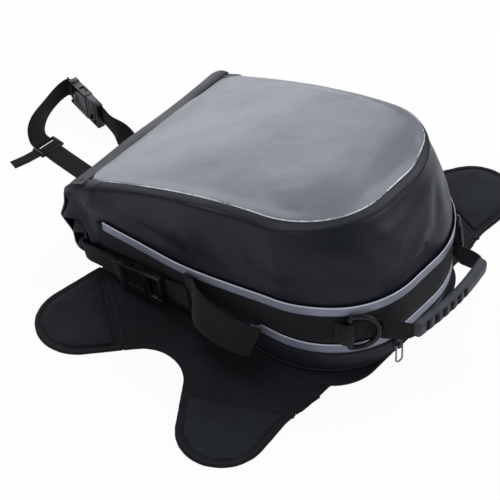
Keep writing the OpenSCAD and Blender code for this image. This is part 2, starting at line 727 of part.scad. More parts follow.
strap_root = front_x + 17.5;
strap_lift = 0.4;
strap_fold = front_x - 41.2;
strap_fold_gap = 2.4;
strap_start = strap_fold - strap_fold_gap / 2;
near_root_y = -27;
far_root_y = 45;
adjuster_size = [20, buckle_width, 4];
adjuster_turn = -5;
adjuster = [strap_fold - near_branch - adjuster_size[0] / 2 - 0.6, near_root_y + 9];
loop_start = adjuster + [-adjuster_size[0] / 2 - 0.6, 1.5];
loop_buckle = loop_start + [-7, loop_sweep - 6];
loop_turn = -16;
function from_buckle(v) = loop_buckle + [v[0] * cos(loop_turn) - v[1] * sin(loop_turn),
    v[0] * sin(loop_turn) + v[1] * cos(loop_turn)];
module at_loop_buckle() {
    translate([loop_buckle[0], loop_buckle[1], buckle_width / 2 + strap_lift])
        rotate([0, 0, loop_turn]) children();
}
module front_buckle_socket() { color("#17181a") at_loop_buckle() socket(); }
module front_buckle_plug() { color("#17181a") at_loop_buckle() plug(); }

module front_strap_near() {
    color("#1a1a1d") translate([0, 0, strap_lift]) linear_extrude(webbing_thickness)
        ribbon([[strap_start, near_root_y], [strap_fold - 0.47 * near_branch, near_root_y + 3],
            [strap_fold - near_branch, near_root_y + 8]], webbing_width);
}

module front_adjuster() {
    slot = [5.4, webbing_width + 1.6, adjuster_size[2] + 2];
    color("#17181a") translate([adjuster[0], adjuster[1], strap_lift])
        rotate([0, 0, adjuster_turn]) difference() {
            translate([-adjuster_size[0] / 2, -adjuster_size[1] / 2, 0]) cube(adjuster_size);
            for (x = [-7.4, 2]) translate([x, -slot[1] / 2, -1]) cube(slot);
        }
}

// Webbing that twists along its way: each station is [x, y, tilt, extra height], where a tilt of 0
// lies flat on the ground and 90 stands on edge
module twisted_webbing(way) {
    n = len(way);
    flat = [for (w = way) [w[0], w[1]]];
    across = [for (i = [0 : n - 1]) let (l = left_of(heading(flat, i)), t = way[i][2])
        [l[0] * cos(t), l[1] * cos(t), sin(t)]];
    up = [for (i = [0 : n - 1]) let (l = left_of(heading(flat, i)), t = way[i][2])
        [-l[0] * sin(t), -l[1] * sin(t), cos(t)]];
    middle = [for (w = way) [w[0], w[1], strap_lift + webbing_width / 2 * sin(w[2])
        + webbing_thickness / 2 * cos(w[2]) + w[3]]];
    w = webbing_width / 2;
    t = webbing_thickness / 2;
    polyhedron(points = [for (i = [0 : n - 1]) each [
            middle[i] - w * across[i] - t * up[i], middle[i] + w * across[i] - t * up[i],
            middle[i] + w * across[i] + t * up[i], middle[i] - w * across[i] + t * up[i]]],
        faces = concat([[0, 1, 2], [0, 2, 3]],
            [for (i = [0 : n - 2], k = [0 : 3]) let (a = 4 * i, b = a + 4, j = (k + 1) % 4)
                each [[a + k, b + k, b + j], [a + k, b + j, a + j]]],
            [[4 * n - 4, 4 * n - 2, 4 * n - 3], [4 * n - 4, 4 * n - 1, 4 * n - 2]]));
}
buckle_rise = (buckle_width - webbing_width) / 2;
function in_buckle(v) = let (p = from_buckle(v)) [p[0], p[1], 90, buckle_rise];

// The loop leaves the adjuster flat, twists on to its edge and turns round to the buckle's socket.
// Each point gives its shares of the loop's depth and sweep, its tilt and its share of the rise
loop_shape = [[0, 0, 0, 0], [0.16, 0.01, 8, 0], [0.36, 0.06, 30, 0], [0.54, 0.16, 55, 0],
    [0.7, 0.3, 74, 0], [0.84, 0.46, 86, 0.1], [0.94, 0.63, 90, 0.4], [1, 0.79, 90, 0.7],
    [1, 0.9, 90, 0.9], [0.96, 0.98, 90, 1]];
module front_strap_loop() {
    color("#1a1a1d") twisted_webbing(concat([for (p = loop_shape)
        [loop_start[0] - p[0] * loop_depth, loop_start[1] + p[1] * loop_sweep, p[2],
            p[3] * buckle_rise]], [for (v = bar_way) in_buckle(v)]));
}

// From the buckle's ladder the strap stands on edge, twists and lies flat as far as its fold
module front_strap_far() {
    start = from_buckle(ladder_way[2]);
    run = [strap_start - start[0], far_root_y - start[1]];
    color("#1a1a1d") twisted_webbing(concat([for (v = ladder_way) in_buckle(v)],
        [for (p = [[0.14, 0.45, 90, 0.5], [0.25, 0.68, 80, 0.2], [0.36, 0.84, 55, 0],
            [0.46, 0.93, 25, 0], [0.56, 0.97, 0, 0], [1, 1, 0, 0]])
            [start[0] + p[0] * run[0], start[1] + p[1] * run[1], p[2], p[3] * buckle_rise]]));
}

// The two ends sewn under the front of the base sheet, which run under the roll
module strap_end(y) {
    color("#1a1a1d") translate([strap_fold + strap_fold_gap / 2, y - webbing_width / 2, strap_lift])
        cube([strap_root - strap_fold - strap_fold_gap / 2, webbing_width, webbing_thickness]);
}
module near_strap_root() { strap_end(near_root_y); }
module far_strap_root() { strap_end(far_root_y); }

module front_strap_tail() {
    start = adjuster + [-3, -buckle_width / 2 - 2];
    color("#1a1a1d") translate([0, 0, strap_lift]) linear_extrude(webbing_thickness)
        ribbon([start, start + [-3, -0.45 * loose_end], start + [-8, -loose_end]],
            0.56 * webbing_width);
}

upper_wall();
lower_wall();
top_panel();
map_window();
upper_reflective_strip();
middle_band();
lower_reflective_strip();
zip_tape();
zip_coil();
zip_slider();
zip_puller();
base_board();
base_zip();
base_sheet();
base_pad();
roll_closure();
mouth_stiffener();
near_roll_strap();
far_roll_strap();
near_side_strap();
far_side_strap();
near_strap_tail();
far_strap_tail();
near_buckle_socket();
far_buckle_socket();
near_buckle_plug();
far_buckle_plug();
near_ring_loop();
far_ring_loop();
near_d_ring();
far_d_ring();
near_handle_anchor();
far_handle_anchor();
near_handle_webbing();
far_handle_webbing();
handle_grip();
near_skirt();
near_front_flap();
near_rear_flap();
near_front_pocket();
near_rear_pocket();
near_front_magnet();
near_rear_magnet();
far_skirt();
far_front_flap();
far_rear_flap();
far_front_pocket();
far_rear_pocket();
far_front_magnet();
far_rear_magnet();
near_strap_root();
far_strap_root();
front_strap_near();
front_strap_loop();
front_strap_far();
front_strap_tail();
front_adjuster();
front_buckle_socket();
front_buckle_plug();
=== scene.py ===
"""Soft roll-top tank bag for a motorcycle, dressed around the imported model.

The bag is made up in the order in which it is sewn and welded: body, window, trim, zips, roll
closure, straps and buckles, rings and handle, base and flaps, steering-head strap.
Lengths are millimetres, turned to metres where a mesh is written.
"""
import math
import bpy
import numpy as np
from mathutils import Matrix, Vector, noise
from mathutils.kdtree import KDTree


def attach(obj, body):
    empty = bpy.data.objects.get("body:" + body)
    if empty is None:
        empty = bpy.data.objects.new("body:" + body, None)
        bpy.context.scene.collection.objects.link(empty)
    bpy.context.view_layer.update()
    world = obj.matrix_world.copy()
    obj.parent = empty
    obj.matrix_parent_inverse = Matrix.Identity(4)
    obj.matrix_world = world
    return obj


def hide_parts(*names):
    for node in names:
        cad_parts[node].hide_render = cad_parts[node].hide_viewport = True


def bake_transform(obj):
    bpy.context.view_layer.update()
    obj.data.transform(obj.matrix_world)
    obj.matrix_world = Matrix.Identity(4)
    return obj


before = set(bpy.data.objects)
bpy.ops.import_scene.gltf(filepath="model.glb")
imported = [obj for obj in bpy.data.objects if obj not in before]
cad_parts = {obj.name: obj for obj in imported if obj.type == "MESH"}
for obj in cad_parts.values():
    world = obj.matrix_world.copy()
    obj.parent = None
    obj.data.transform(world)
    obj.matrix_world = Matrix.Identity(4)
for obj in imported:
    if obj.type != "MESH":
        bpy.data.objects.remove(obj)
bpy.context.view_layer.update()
bpy.ops.object.select_all(action="DESELECT")


# ---- camera ----
# A long lens, above and to the right of the bag's near side, rolled a little.
AZIMUTH, ELEVATION, ROLL = (math.radians(a) for a in (42.38, 44.38, -3.38))
DISTANCE, SHIFT_RIGHT, SHIFT_UP = 1858, 35.4, -10.7
SENSOR, LENS = 36, 122.4
TUB_BOTTOM = 8

back = Vector((math.sin(AZIMUTH) * math.cos(ELEVATION), -math.cos(AZIMUTH) * math.cos(ELEVATION),
               math.sin(ELEVATION)))
level = Vector((math.cos(AZIMUTH), math.sin(AZIMUTH), 0))
rise = back.cross(level)
right = level * math.cos(ROLL) + rise * math.sin(ROLL)
up = rise * math.cos(ROLL) - level * math.sin(ROLL)
bpy.ops.object.camera_add()
camera = bpy.context.object
camera.data.sensor_width = SENSOR
camera.data.lens = LENS
camera.data.clip_end = 20
turn = Matrix((right, up, back)).transposed().to_4x4()
place = (DISTANCE * back - SHIFT_RIGHT * right - SHIFT_UP * up + Vector((0, 0, TUB_BOTTOM))) / 1000
camera.matrix_world = Matrix.Translation(place) @ turn
bpy.context.scene.camera = camera
bpy.context.scene.view_settings.view_transform = "Standard"


# ---- studio ----
# A white floor under a wide soft lamp, with lamps behind the roll and the far side, and low fills.
def colour(code):
    """Linear colour of an sRGB hex code."""
    parts = [int(code[i:i + 2], 16) / 255 for i in (1, 3, 5)]
    return [c / 12.92 if c <= 0.04045 else ((c + 0.055) / 1.055) ** 2.4 for c in parts] + [1.0]


def new_material(name):
    """An empty material and its tree."""
    material = bpy.data.materials.new(name)
    material.use_nodes = True
    material.node_tree.nodes.clear()
    return material, material.node_tree


def node(tree, kind, inputs=None, output=0, **settings):
    """Adds a node with its settings and links, and gives one of its outputs.

    An input takes a value or another node's output.
    """
    made = tree.nodes.new("ShaderNode" + kind)
    for key, value in settings.items():
        setattr(made, key, value)
    for key, value in (inputs or {}).items():
        if isinstance(value, bpy.types.NodeSocket):
            tree.links.new(value, made.inputs[key])
        else:
            made.inputs[key].default_value = value
    return made.outputs[output] if len(made.outputs) else None


# The sky is white to the camera, and dimmer and a little blue in what it lights and in highlights.
SKY_LIGHT, HIGHLIGHT_CUT, COOL, WHITE = 0.3, -0.63, (0.86, 0.91, 1, 1), (1, 1, 1, 1)
world = bpy.data.worlds.new("studio")
bpy.context.scene.world = world
world.use_nodes = True
tree = world.node_tree
tree.nodes.clear()
seen_ray, glossy_ray, clear_ray = (node(tree, "LightPath", output=f"Is {kind} Ray")
                                   for kind in ("Camera", "Glossy", "Transmission"))
shown = node(tree, "Math", {0: seen_ray, 1: glossy_ray}, operation="MAXIMUM")
shown = node(tree, "Math", {0: shown, 1: clear_ray}, operation="MAXIMUM")
share = node(tree, "MapRange", {"Value": shown, "To Min": SKY_LIGHT})
highlight = node(tree, "Math", {0: glossy_ray, 1: HIGHLIGHT_CUT}, operation="MULTIPLY")
strength = node(tree, "Math", {0: share, 1: highlight}, operation="ADD")
tint = node(tree, "Mix", {0: seen_ray, 6: COOL, 7: WHITE}, 2, data_type="RGBA")
sky = node(tree, "Background", {"Color": tint, "Strength": strength})
node(tree, "OutputWorld", {"Surface": sky})


def soft_lamp(name, position, target, size, watts):
    """A square, slightly cool lamp that faces a point."""
    bpy.ops.object.light_add(type="AREA", location=position)
    lamp = bpy.context.object
    lamp.name = name
    lamp.data.size = size
    lamp.data.energy = watts
    lamp.data.color = (0.93, 0.96, 1.0)
    lamp.rotation_euler = (Vector(target) - Vector(position)).to_track_quat("-Z", "Y").to_euler()


soft_lamp("top_lamp", (-0.5, -0.3, 1.9), (0, 0, 0.1), 1.4, 12)
soft_lamp("back_lamp", (-1.8, 1.15, 0.75), (0, 0, 0.1), 1.7, 17)
soft_lamp("far_lamp", (0.15, 1.3, 1.7), (0, 0, 0.1), 1.3, 16)
soft_lamp("side_lamp", (1.8, 0.75, 0.9), (0.1, 0, 0.1), 0.9, 11)
soft_lamp("near_lamp", (0.5, -1.9, 0.8), (0, -0.1, 0.04), 0.35, 3.5)

bpy.ops.mesh.primitive_plane_add(size=6)
floor = bpy.context.object
floor.name = "floor"
material, tree = new_material("pale_floor")
share = node(tree, "Math", {0: node(tree, "LightPath", output="Is Camera Ray"), 1: 0.94},
             operation="MULTIPLY")
paint = node(tree, "BsdfDiffuse", {"Color": colour("#f4f4f4")})
glow = node(tree, "Emission", {"Color": WHITE, "Strength": 1.0})
mixed = node(tree, "MixShader", {0: share, 1: paint, 2: glow})
node(tree, "OutputMaterial", {"Surface": mixed})
floor.data.materials.append(material)


# ---- welded body ----
# The upper walls and the border of the top are one skin of PVC-coated polyester, welded along the
# shoulder. It stands by itself, but sags softly between its welds and creases at the rear corners.
LENGTH, FRONT_WIDTH, REAR_WIDTH, CORNER = 370, 248, 236, 98
FRONT_HEIGHT, REAR_HEIGHT, SHOULDER_DROP, REAR_LEAN = 104, 197, 7, 27
FRONT_FILLET = 15
WALL = 2.0
WAIST = (0, 0, 8)
WINDOW_EDGE = (15, 39, 10)


def ease(t):
    t = np.clip(t, 0, 1)
    return t * t * (3 - 2 * t)


def upper_line(x):
    """Height of the upper reflective strip's top edge."""
    return 78 + 32 * ease((x + 0.16 * LENGTH) / (0.57 * LENGTH))


def lower_line(x):
    """Height of the lower reflective strip's top edge."""
    return 49 + 7 * ease((x + 0.16 * LENGTH) / (0.57 * LENGTH))


def top_line(x):
    """Height of the top of the bag beside the window."""
    along = np.clip((x + LENGTH / 2) / (LENGTH - REAR_LEAN), 0, 1)
    return FRONT_HEIGHT + (REAR_HEIGHT - FRONT_HEIGHT) * np.sin(along * math.pi / 2)


def outline(inset):
    """Closed outline in plan, from the middle of the front edge round by the near side."""
    side, rear, front = inset
    half_front, half_rear = FRONT_WIDTH / 2 - side, REAR_WIDTH / 2 - side
    r = CORNER - side
    cx, xf, f = LENGTH / 2 - rear - r, -LENGTH / 2 + front, FRONT_FILLET
    t = np.linspace(0, 1, 17)[:-1, None]
    edge = np.array([xf, 0]) + t * np.array([0, f - half_front])
    a = np.radians(np.linspace(180, 270, 11)[:-1])
    corner = np.stack([xf + f + f * np.cos(a), f - half_front + f * np.sin(a)], 1)
    t = np.linspace(0, 1, 97)[:-1, None]
    flank = np.array([xf + f, -half_front]) + t * np.array([cx - xf - f, half_front - half_rear])
    a = np.radians(np.linspace(-90, 0, 65)[:-1])
    bend = np.stack([cx + r * np.cos(a), r - half_rear + r * np.sin(a)], 1)
    t = np.linspace(0, 1, 11)[:, None]
    end = np.array([cx + r, r - half_rear]) + t * np.array([0, half_rear - r])
    half = np.concatenate([edge, corner, flank, bend, end])
    return np.concatenate([half, (half * (1, -1))[-2::-1]])


def ring(inset, height):
    """Outline at a height, which is a number or a function of x."""
    flat = outline(inset)
    z = height(flat[:, 0]) if callable(height) else np.full(len(flat), float(height))
    return np.column_stack([flat, z])


def loft(rings, steps):
    """Rows of points on a smooth curve through each ring in turn."""
    rings = np.asarray(rings, float)
    ends = np.concatenate([[2 * rings[0] - rings[1]], rings, [2 * rings[-1] - rings[-2]]])
    rows = []
    for k in range(len(rings) - 1):
        a, b, c, d = ends[k:k + 4]
        for t in np.arange(steps) / steps:
            rows.append(0.5 * (2 * b + (c - a) * t + (2 * a - 5 * b + 4 * c - d) * t ** 2
                               + (3 * b - a - 3 * c + d) * t ** 3))
    return np.array(rows + [rings[-1]])


def below(line, drop):
    """A line of heights, lowered."""
    return lambda x: line(x) - drop


def normals(points):
    n = np.cross(np.gradient(points, axis=1), np.gradient(points, axis=0))
    return n / np.maximum(np.linalg.norm(n, axis=2, keepdims=True), 1e-9)


def ripple(points, size, depth, seed):
    """Smooth uneven height over points, with humps of about the size given."""
    flat = points.reshape(-1, 3) / size
    shift = Vector((seed * 7.3, seed * 3.1, seed * 5.7))
    heights = [noise.noise(Vector(p) + shift) for p in flat]
    return depth * np.array(heights).reshape(points.shape[:-1])


def crease(points, start, end, width, depth):
    """A long soft fold between two points, deepest in the middle."""
    start, end = np.array(start, float), np.array(end, float)
    way = end - start
    t = np.clip(((points - start) @ way) / (way @ way), 0, 1)
    gap = np.linalg.norm(points - (start + t[..., None] * way), axis=-1)
    return depth * np.exp(-(gap / width) ** 2) * (0.35 + 0.65 * np.sin(np.pi * t))


def grid_piece(name, points, closed=False):
    """A grid drawn out to rows of points, with a UV map in metres along its rows and columns."""
    rows, cols = points.shape[:2]
    bpy.ops.object.select_all(action="DESELECT")
    bpy.ops.mesh.primitive_grid_add(x_subdivisions=cols - 1, y_subdivisions=rows - 1, size=2)
    piece = bpy.context.object
    piece.name = piece.data.name = name
    mesh = piece.data
    co = np.empty(len(mesh.vertices) * 3)
    mesh.vertices.foreach_get("co", co)
    co = co.reshape(-1, 3)
    i = np.rint((co[:, 0] + 1) / 2 * (cols - 1)).astype(int)
    j = np.rint((co[:, 1] + 1) / 2 * (rows - 1)).astype(int)
    mesh.vertices.foreach_set("co", (points[j, i] / 1000).ravel())
    along = np.cumsum(np.linalg.norm(np.diff(points, axis=1, prepend=points[:, :1]), axis=2), 1)
    across = np.cumsum(np.linalg.norm(np.diff(points, axis=0, prepend=points[:1]), axis=2), 0)
    where = np.empty(len(mesh.loops), int)
    mesh.loops.foreach_get("vertex_index", where)
    uv = np.stack([along[j, i][where], across[j, i][where]], 1) / 1000
    mesh.uv_layers.active.data.foreach_set("uv", uv.ravel())
    if closed:
        bpy.ops.object.mode_set(mode="EDIT")
        bpy.ops.mesh.select_all(action="SELECT")
        bpy.ops.mesh.remove_doubles(threshold=2e-6)
        bpy.ops.object.mode_set(mode="OBJECT")
    bpy.ops.object.shade_smooth()
    return piece


def thicken(piece, thickness, offset=-1):
    """Gives a skin its wall. An offset of -1 grows it inwards, 1 outwards."""
    bpy.context.view_layer.objects.active = piece
    wall = piece.modifiers.new("wall", "SOLIDIFY")
    wall.thickness = thickness / 1000
    wall.offset = offset
    wall.use_even_offset = False
    bpy.ops.object.modifier_apply(modifier=wall.name)


def dress(piece, material, body, replaced=(), bend=None):
    """Gives a piece its finish and its body, and hides the plain solids that it stands for.

    A piece given a bend is fixed where it lies and held by no body; its bodies and bend are not used.
    """
    piece.data.materials.clear()
    piece.data.materials.append(material)
    if bend is not None:
        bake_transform(piece)
    else:
        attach(piece, body)
    if replaced:
        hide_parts(*replaced)


# PVC-coated polyester: a satin skin, slightly blue, with the scrim's weave showing faintly through
# and patches where handling has polished it. The scrim is drawn at 1.6 mm so that it shows.
def pvc_material(name, code, rough):
    material, tree = new_material(name)
    spot = node(tree, "TexCoord", output="Object")
    handled = node(tree, "TexNoise", {"Vector": spot, "Scale": 9.0, "Detail": 4.0})
    light = [c * 1.45 + 0.002 for c in colour(code)[:3]] + [1]
    tint = node(tree, "Mix", {0: handled, 6: colour(code), 7: light}, 2, data_type="RGBA")
    gloss = node(tree, "MapRange", {"Value": handled, "From Min": 0.3, "From Max": 0.7,
                                    "To Min": rough - 0.07, "To Max": rough + 0.09})
    scrim = node(tree, "TexVoronoi", {"Vector": spot, "Scale": 620.0})
    weave = node(tree, "Bump", {"Height": scrim, "Strength": 0.10, "Distance": 0.0004})
    fine = node(tree, "TexNoise", {"Vector": spot, "Scale": 900.0, "Detail": 3.0})
    grain = node(tree, "Bump", {"Height": fine, "Strength": 0.14, "Distance": 0.0003, "Normal": weave})
    broad = node(tree, "TexNoise", {"Vector": spot, "Scale": 26.0, "Detail": 3.0})
    dents = node(tree, "Bump", {"Height": broad, "Strength": 0.22, "Distance": 0.004, "Normal": grain})
    shader = node(tree, "BsdfPrincipled", {"Base Color": tint, "Roughness": gloss, "Normal": dents,
                                           "IOR": 1.5, "Specular IOR Level": 0.26})
    node(tree, "OutputMaterial", {"Surface": shader})
    return material


welded_pvc = pvc_material("satin_welded_pvc", "#0e101a", 0.42)


def share_up(fraction):
    """Height a share of the way from the strip to the shoulder."""
    return lambda x: upper_line(x) + fraction * (top_line(x) - SHOULDER_DROP - upper_line(x))


skin = loft([
    ring(WAIST, below(upper_line, 26)), ring(WAIST, below(upper_line, 13)),
    ring((-0.2, 0.2, 8), below(upper_line, 1)),
    ring((-1.1, 2.0, 7), share_up(0.18)), ring((-1.4, 5.9, 6), share_up(0.4)),
    ring((-0.6, 11.2, 5.5), share_up(0.6)), ring((1.0, 17.0, 5), share_up(0.78)),
    ring((2.3, 24.0, 4.4), share_up(0.93)), ring((3.6, 27.6, 4), below(top_line, 5.4)),
    ring((6.6, 30.4, 4), below(top_line, 2.7)), ring((10.8, 34.4, 6), below(top_line, 1.1)),
    ring(WINDOW_EDGE, below(top_line, 0.2)), ring((21, 45, 16), below(top_line, 0.1))], 8)
rows = np.linspace(0, 1, len(skin))[:, None]
free = ease((rows - 0.20) / 0.12) * (1 - 0.75 * ease((rows - 0.66) / 0.1))
sag = (ripple(skin, 95, 3.0, 1) + ripple(skin, 42, 1.1, 2) - 1.2 * np.sin(np.pi * rows)) * free
for side in (-1, 1):
    for start, end, width, depth in (
            ((150, 105, 168), (172, 70, 128), 9, -2.6), ((120, 119, 176), (150, 116, 130), 11, -2.2),
            ((166, 60, 178), (182, 30, 140), 10, -2.4), ((86, 121, 160), (100, 124, 122), 12, 1.8),
            ((30, 123, 150), (70, 124, 110), 12, -1.5), ((-40, 123, 132), (-20, 124, 96), 12, 1.3),
            ((-120, 123, 104), (-60, 124, 92), 8, -1.4), ((178, 20, 150), (184, -20, 128), 9, 1.8)):
        sag += crease(skin, (start[0], side * start[1], start[2]),
                      (end[0], side * end[1], end[2]), width, depth) * free
body = grid_piece("welded_body", skin + normals(skin) * sag[..., None], closed=True)
thicken(body, WALL)
dress(body, welded_pvc, "bag", ("upper_wall", "top_panel"))


# ---- map window ----
# A sheet of clear PVC welded over the dark top. Its mid grey, in soft paler and darker bands, is
# painted reflection and sheen, and it also reflects broadly; along its weld runs a bright, ragged
# painted glint.
WINDOW_THICKNESS, CROWN = 1.2, 5
FAR_REACH, FAR_DROP = 7.5, 1.9

clear_window, tree = new_material("clear_pvc_over_dark_top")
spot = node(tree, "TexCoord", output="Object")
# Painted reflection: the sheet's mid grey and its soft paler and darker bands stand in for the light it
# reflects.
sheen_and_gloss_noise = node(tree, "TexNoise", {"Vector": spot, "Scale": 7.0, "Detail": 5.0})
painted_sheen_bands = node(tree, "MapRange", {"Value": sheen_and_gloss_noise, "From Min": 0.32, "From Max": 0.68})
sheen_banded_grey = node(tree, "Mix", {0: painted_sheen_bands, 6: colour("#66686d"), 7: colour("#808288")}, 2,
               data_type="RGBA")
# Painted glint: a bright, ragged near-white line along the weld edge stands in for light caught there.
torn = node(tree, "TexNoise", {"Vector": spot, "Scale": 260.0, "Detail": 6.0, "Roughness": 0.7})
patchy = node(tree, "TexNoise", {"Vector": spot, "Scale": 34.0})
ragged = node(tree, "Math", {0: torn, 1: patchy}, operation="ADD")
rim = node(tree, "Attribute", output="Fac", attribute_name="rim")
at_rim = node(tree, "Math", {0: ragged, 1: rim}, operation="MULTIPLY")
painted_weld_glint = node(tree, "MapRange", {"Value": at_rim, "From Min": 0.82, "From Max": 1.0})
tint = node(tree, "Mix", {0: painted_weld_glint, 6: sheen_banded_grey, 7: colour("#e8e8ea")}, 2, data_type="RGBA")
gloss = node(tree, "MapRange", {"Value": sheen_and_gloss_noise, "To Min": 0.24, "To Max": 0.40})
fine = node(tree, "TexNoise", {"Vector": spot, "Scale": 700.0})
dust = node(tree, "Bump", {"Height": fine, "Strength": 0.05, "Distance": 0.0003})
broad = node(tree, "TexNoise", {"Vector": spot, "Scale": 17.0, "Detail": 3.0})
waves = node(tree, "Bump", {"Height": broad, "Strength": 0.45, "Distance": 0.005, "Normal": dust})
shader = node(tree, "BsdfPrincipled", {"Base Color": tint, "Roughness": gloss, "Normal": waves,
                                       "IOR": 1.53, "Specular IOR Level": 0.36,
                                       "Coat Weight": 0.12, "Coat Roughness": 0.16})
node(tree, "OutputMaterial", {"Surface": shader})


def raised(flat, z):
    """Points in plan with their heights."""
    return np.concatenate([flat, np.broadcast_to(z, flat.shape[:-1])[..., None]], -1)


def vertices(piece):
    """A piece's own points, in millimetres."""
    return np.array([v.co for v in piece.data.vertices]) * 1000


def mark(piece, name, values):
    """Keeps a number for each of a piece's points, for its finish to read."""
    attribute = piece.data.attributes.new(name, "FLOAT", "POINT")
    attribute.data.foreach_set("value", np.asarray(values, np.float32))


def searchable(points):
    """A search tree that finds the nearest of many points."""
    found = KDTree(len(points))
    for number, point in enumerate(points):
        found.insert(point, number)
    found.balance()
    return found


edge = outline(WINDOW_EDGE)
over_far = ease((edge[:, 1] - 52) / 26)
edge[:, 1] += FAR_REACH * over_far
spine = np.stack([np.clip(edge[:, 0], -LENGTH / 2 + 75, LENGTH / 2 - 125), 0 * edge[:, 0]], 1)
shares = np.concatenate([[0, 0, 0.006, 0.02], np.linspace(0.04, 1, 44)])
lifts = np.concatenate([[0.1, 0.7, 1.15], np.full(45, WINDOW_THICKNESS)])
rows = []
for share, lift in zip(shares, lifts):
    flat = edge + share * (spine - edge)
    z = top_line(flat[:, 0]) + lift + CROWN * (1 - (1 - share) ** 2.4)
    rows.append(raised(flat, z - FAR_DROP * over_far * (1 - ease(share / 0.1))))
sheet = np.array(rows)
inner = ease(shares / 0.15)[:, None]
swell = (ripple(sheet, 120, 2.6, 4) + ripple(sheet, 46, 1.3, 5)) * inner
for start, end, width, depth in (
        ((-60, 92, 150), (60, 84, 182), 6, 1.4), ((-30, 70, 160), (70, 96, 184), 5, -1.1),
        ((-130, 60, 125), (-70, 100, 140), 7, 1.3), ((-150, -70, 118), (-90, -98, 138), 8, 1.2),
        ((-168, -30, 112), (-120, 20, 128), 9, 1.4), ((-160, 50, 115), (-110, 80, 128), 8, -1.2),
        ((20, -60, 180), (90, -92, 190), 9, -0.9), ((100, 40, 200), (130, -30, 200), 10, 0.9)):
    swell += crease(sheet, start, end, width, depth) * inner
sheet[..., 2] += swell
window = grid_piece("window_sheet", sheet, closed=True)
fine_edge = np.concatenate([edge + (np.roll(edge, -1, 0) - edge) * t for t in np.arange(0, 1, 0.1)])
weld_line = searchable(raised(fine_edge, 0))
gap = np.array([weld_line.find((x, y, 0))[2] for x, y, _ in vertices(window)])
# Nearness to the weld edge, where the window's finish paints its glint.
mark(window, "rim", np.clip(1.15 - gap / 3.2, 0, 1.15))
thicken(window, WINDOW_THICKNESS)
dress(window, clear_window, "bag", ("map_window",))


# ---- lower wall ----
# The tub below the band is a second skin of the same coated fabric, given a lighter copy of its finish
# as painted light on this shaded wall. It curves in to the base and ends in a soft hem.
lower = loft([
    ring((6.5, 13.5, 23), 7.6), ring((3.6, 10.4, 19), 8.4), ring((1.9, 6.8, 15), 14),
    ring((0.7, 2.6, 12), 24), ring((0.1, 0.6, 9), below(lower_line, 20)),
    ring(WAIST, below(lower_line, 8)), ring(WAIST, below(upper_line, 25))], 6)
rows = np.linspace(0, 1, len(lower))[:, None]
slack = np.sin(np.pi * rows) ** 2
sag = (ripple(lower, 60, 2.0, 8) + ripple(lower, 26, 0.6, 9)) * slack
# Painted light: a lighter copy of the welded skin's finish, so that the tub in shade looks lit.
tub_pvc_painted_light = pvc_material("satin_tub_pvc", "#1c1d23", 0.5)
tub = grid_piece("tub_skin", lower + normals(lower) * sag[..., None], closed=True)
thicken(tub, WALL)
dress(tub, tub_pvc_painted_light, "bag", ("lower_wall",))


# ---- band and reflective strips ----
# A wide band of woven nylon runs round the bag, stitched along its edges. Silver tape is sewn over
# both edges. The upper strip starts with a cut end near the roll, the lower one behind the band's
# side seam.
def lengths(path):
    """How far along a path each of its points lies."""
    return np.concatenate([[0], np.cumsum(np.linalg.norm(np.diff(path, axis=0), axis=1))])


def at_lengths(path, steps, s):
    """The places on a path, or values along it, at lengths s. Steps are its points' own lengths."""
    return np.stack([np.interp(s, steps, path[:, k]) for k in range(path.shape[1])], 1)


def rightwards(path):
    """The direction square to a path in plan, to its right, at each point."""
    way = np.gradient(path, axis=0)
    way /= np.linalg.norm(way, axis=1, keepdims=True)
    return np.stack([way[:, 1], -way[:, 0]], 1)


def round_the_bag(start_x, count, out=0.0):
    """Evenly spaced points round the waist, from start_x on the near side to the same on the far."""
    path = outline(WAIST)[26:-27]
    steps = lengths(path)
    first = np.interp(start_x, path[:130, 0], steps[:130])
    flat = at_lengths(path, steps, np.linspace(first, steps[-1] - first, count))
    outward = rightwards(flat)
    return flat + out * outward, outward


def close_up(piece, join_ends=None):
    """Turns a piece's faces outwards, once its open edges are joined if it has any."""
    bpy.context.view_layer.objects.active = piece
    bpy.ops.object.mode_set(mode="EDIT")
    bpy.ops.mesh.select_all(action="SELECT")
    if join_ends:
        bpy.ops.mesh.region_to_loop()
        join_ends()
        bpy.ops.mesh.select_all(action="SELECT")
    bpy.ops.mesh.normals_make_consistent(inside=False)
    bpy.ops.object.mode_set(mode="OBJECT")


def tape(name, middles, across, outward, width, thickness, rounding=0.4):
    """A flat tape swept along its middle line, with rolled edges and closed ends."""
    t, r = thickness / 2, min(rounding, thickness / 2.2)
    half = np.broadcast_to(width / 2, len(middles))[:, None]
    section = [(-1, 0, 0), (-1, 0, t - r), (-1, r, t), (-0.6, 0, t), (-0.2, 0, t), (0.2, 0, t),
               (0.6, 0, t), (1, -r, t), (1, 0, t - r), (1, 0, r - t), (1, -r, -t), (0, 0, -t),
               (-1, r, -t), (-1, 0, r - t), (-1, 0, 0)]
    points = np.array([middles + (a * half + b) * across + c * outward for a, b, c in section])
    caps = np.repeat(points.mean(0)[None], len(points), 0)
    points = np.concatenate([caps[:, :1], points, caps[:, -1:]], 1)
    piece = grid_piece(name, points, closed=True)
    close_up(piece)
    bpy.ops.object.shade_smooth_by_angle(angle=math.radians(50))
    return piece


def ring_tape(name, start_x, top, bottom, out, thickness, count, wander=0.0, seed=0):
    """A tape that follows the waist between a top and a bottom line."""
    flat, outward = round_the_bag(start_x, count)
    high, low = top(flat[:, 0]), bottom(flat[:, 0])
    outward, middles = raised(outward, 0), raised(flat, (high + low) / 2)
    stand = out + ripple(middles, 40, wander, seed) + wander * 0.5
    return tape(name, middles + outward * stand[:, None], raised(0 * flat, 1), outward,
                high - low, thickness, 0.5)


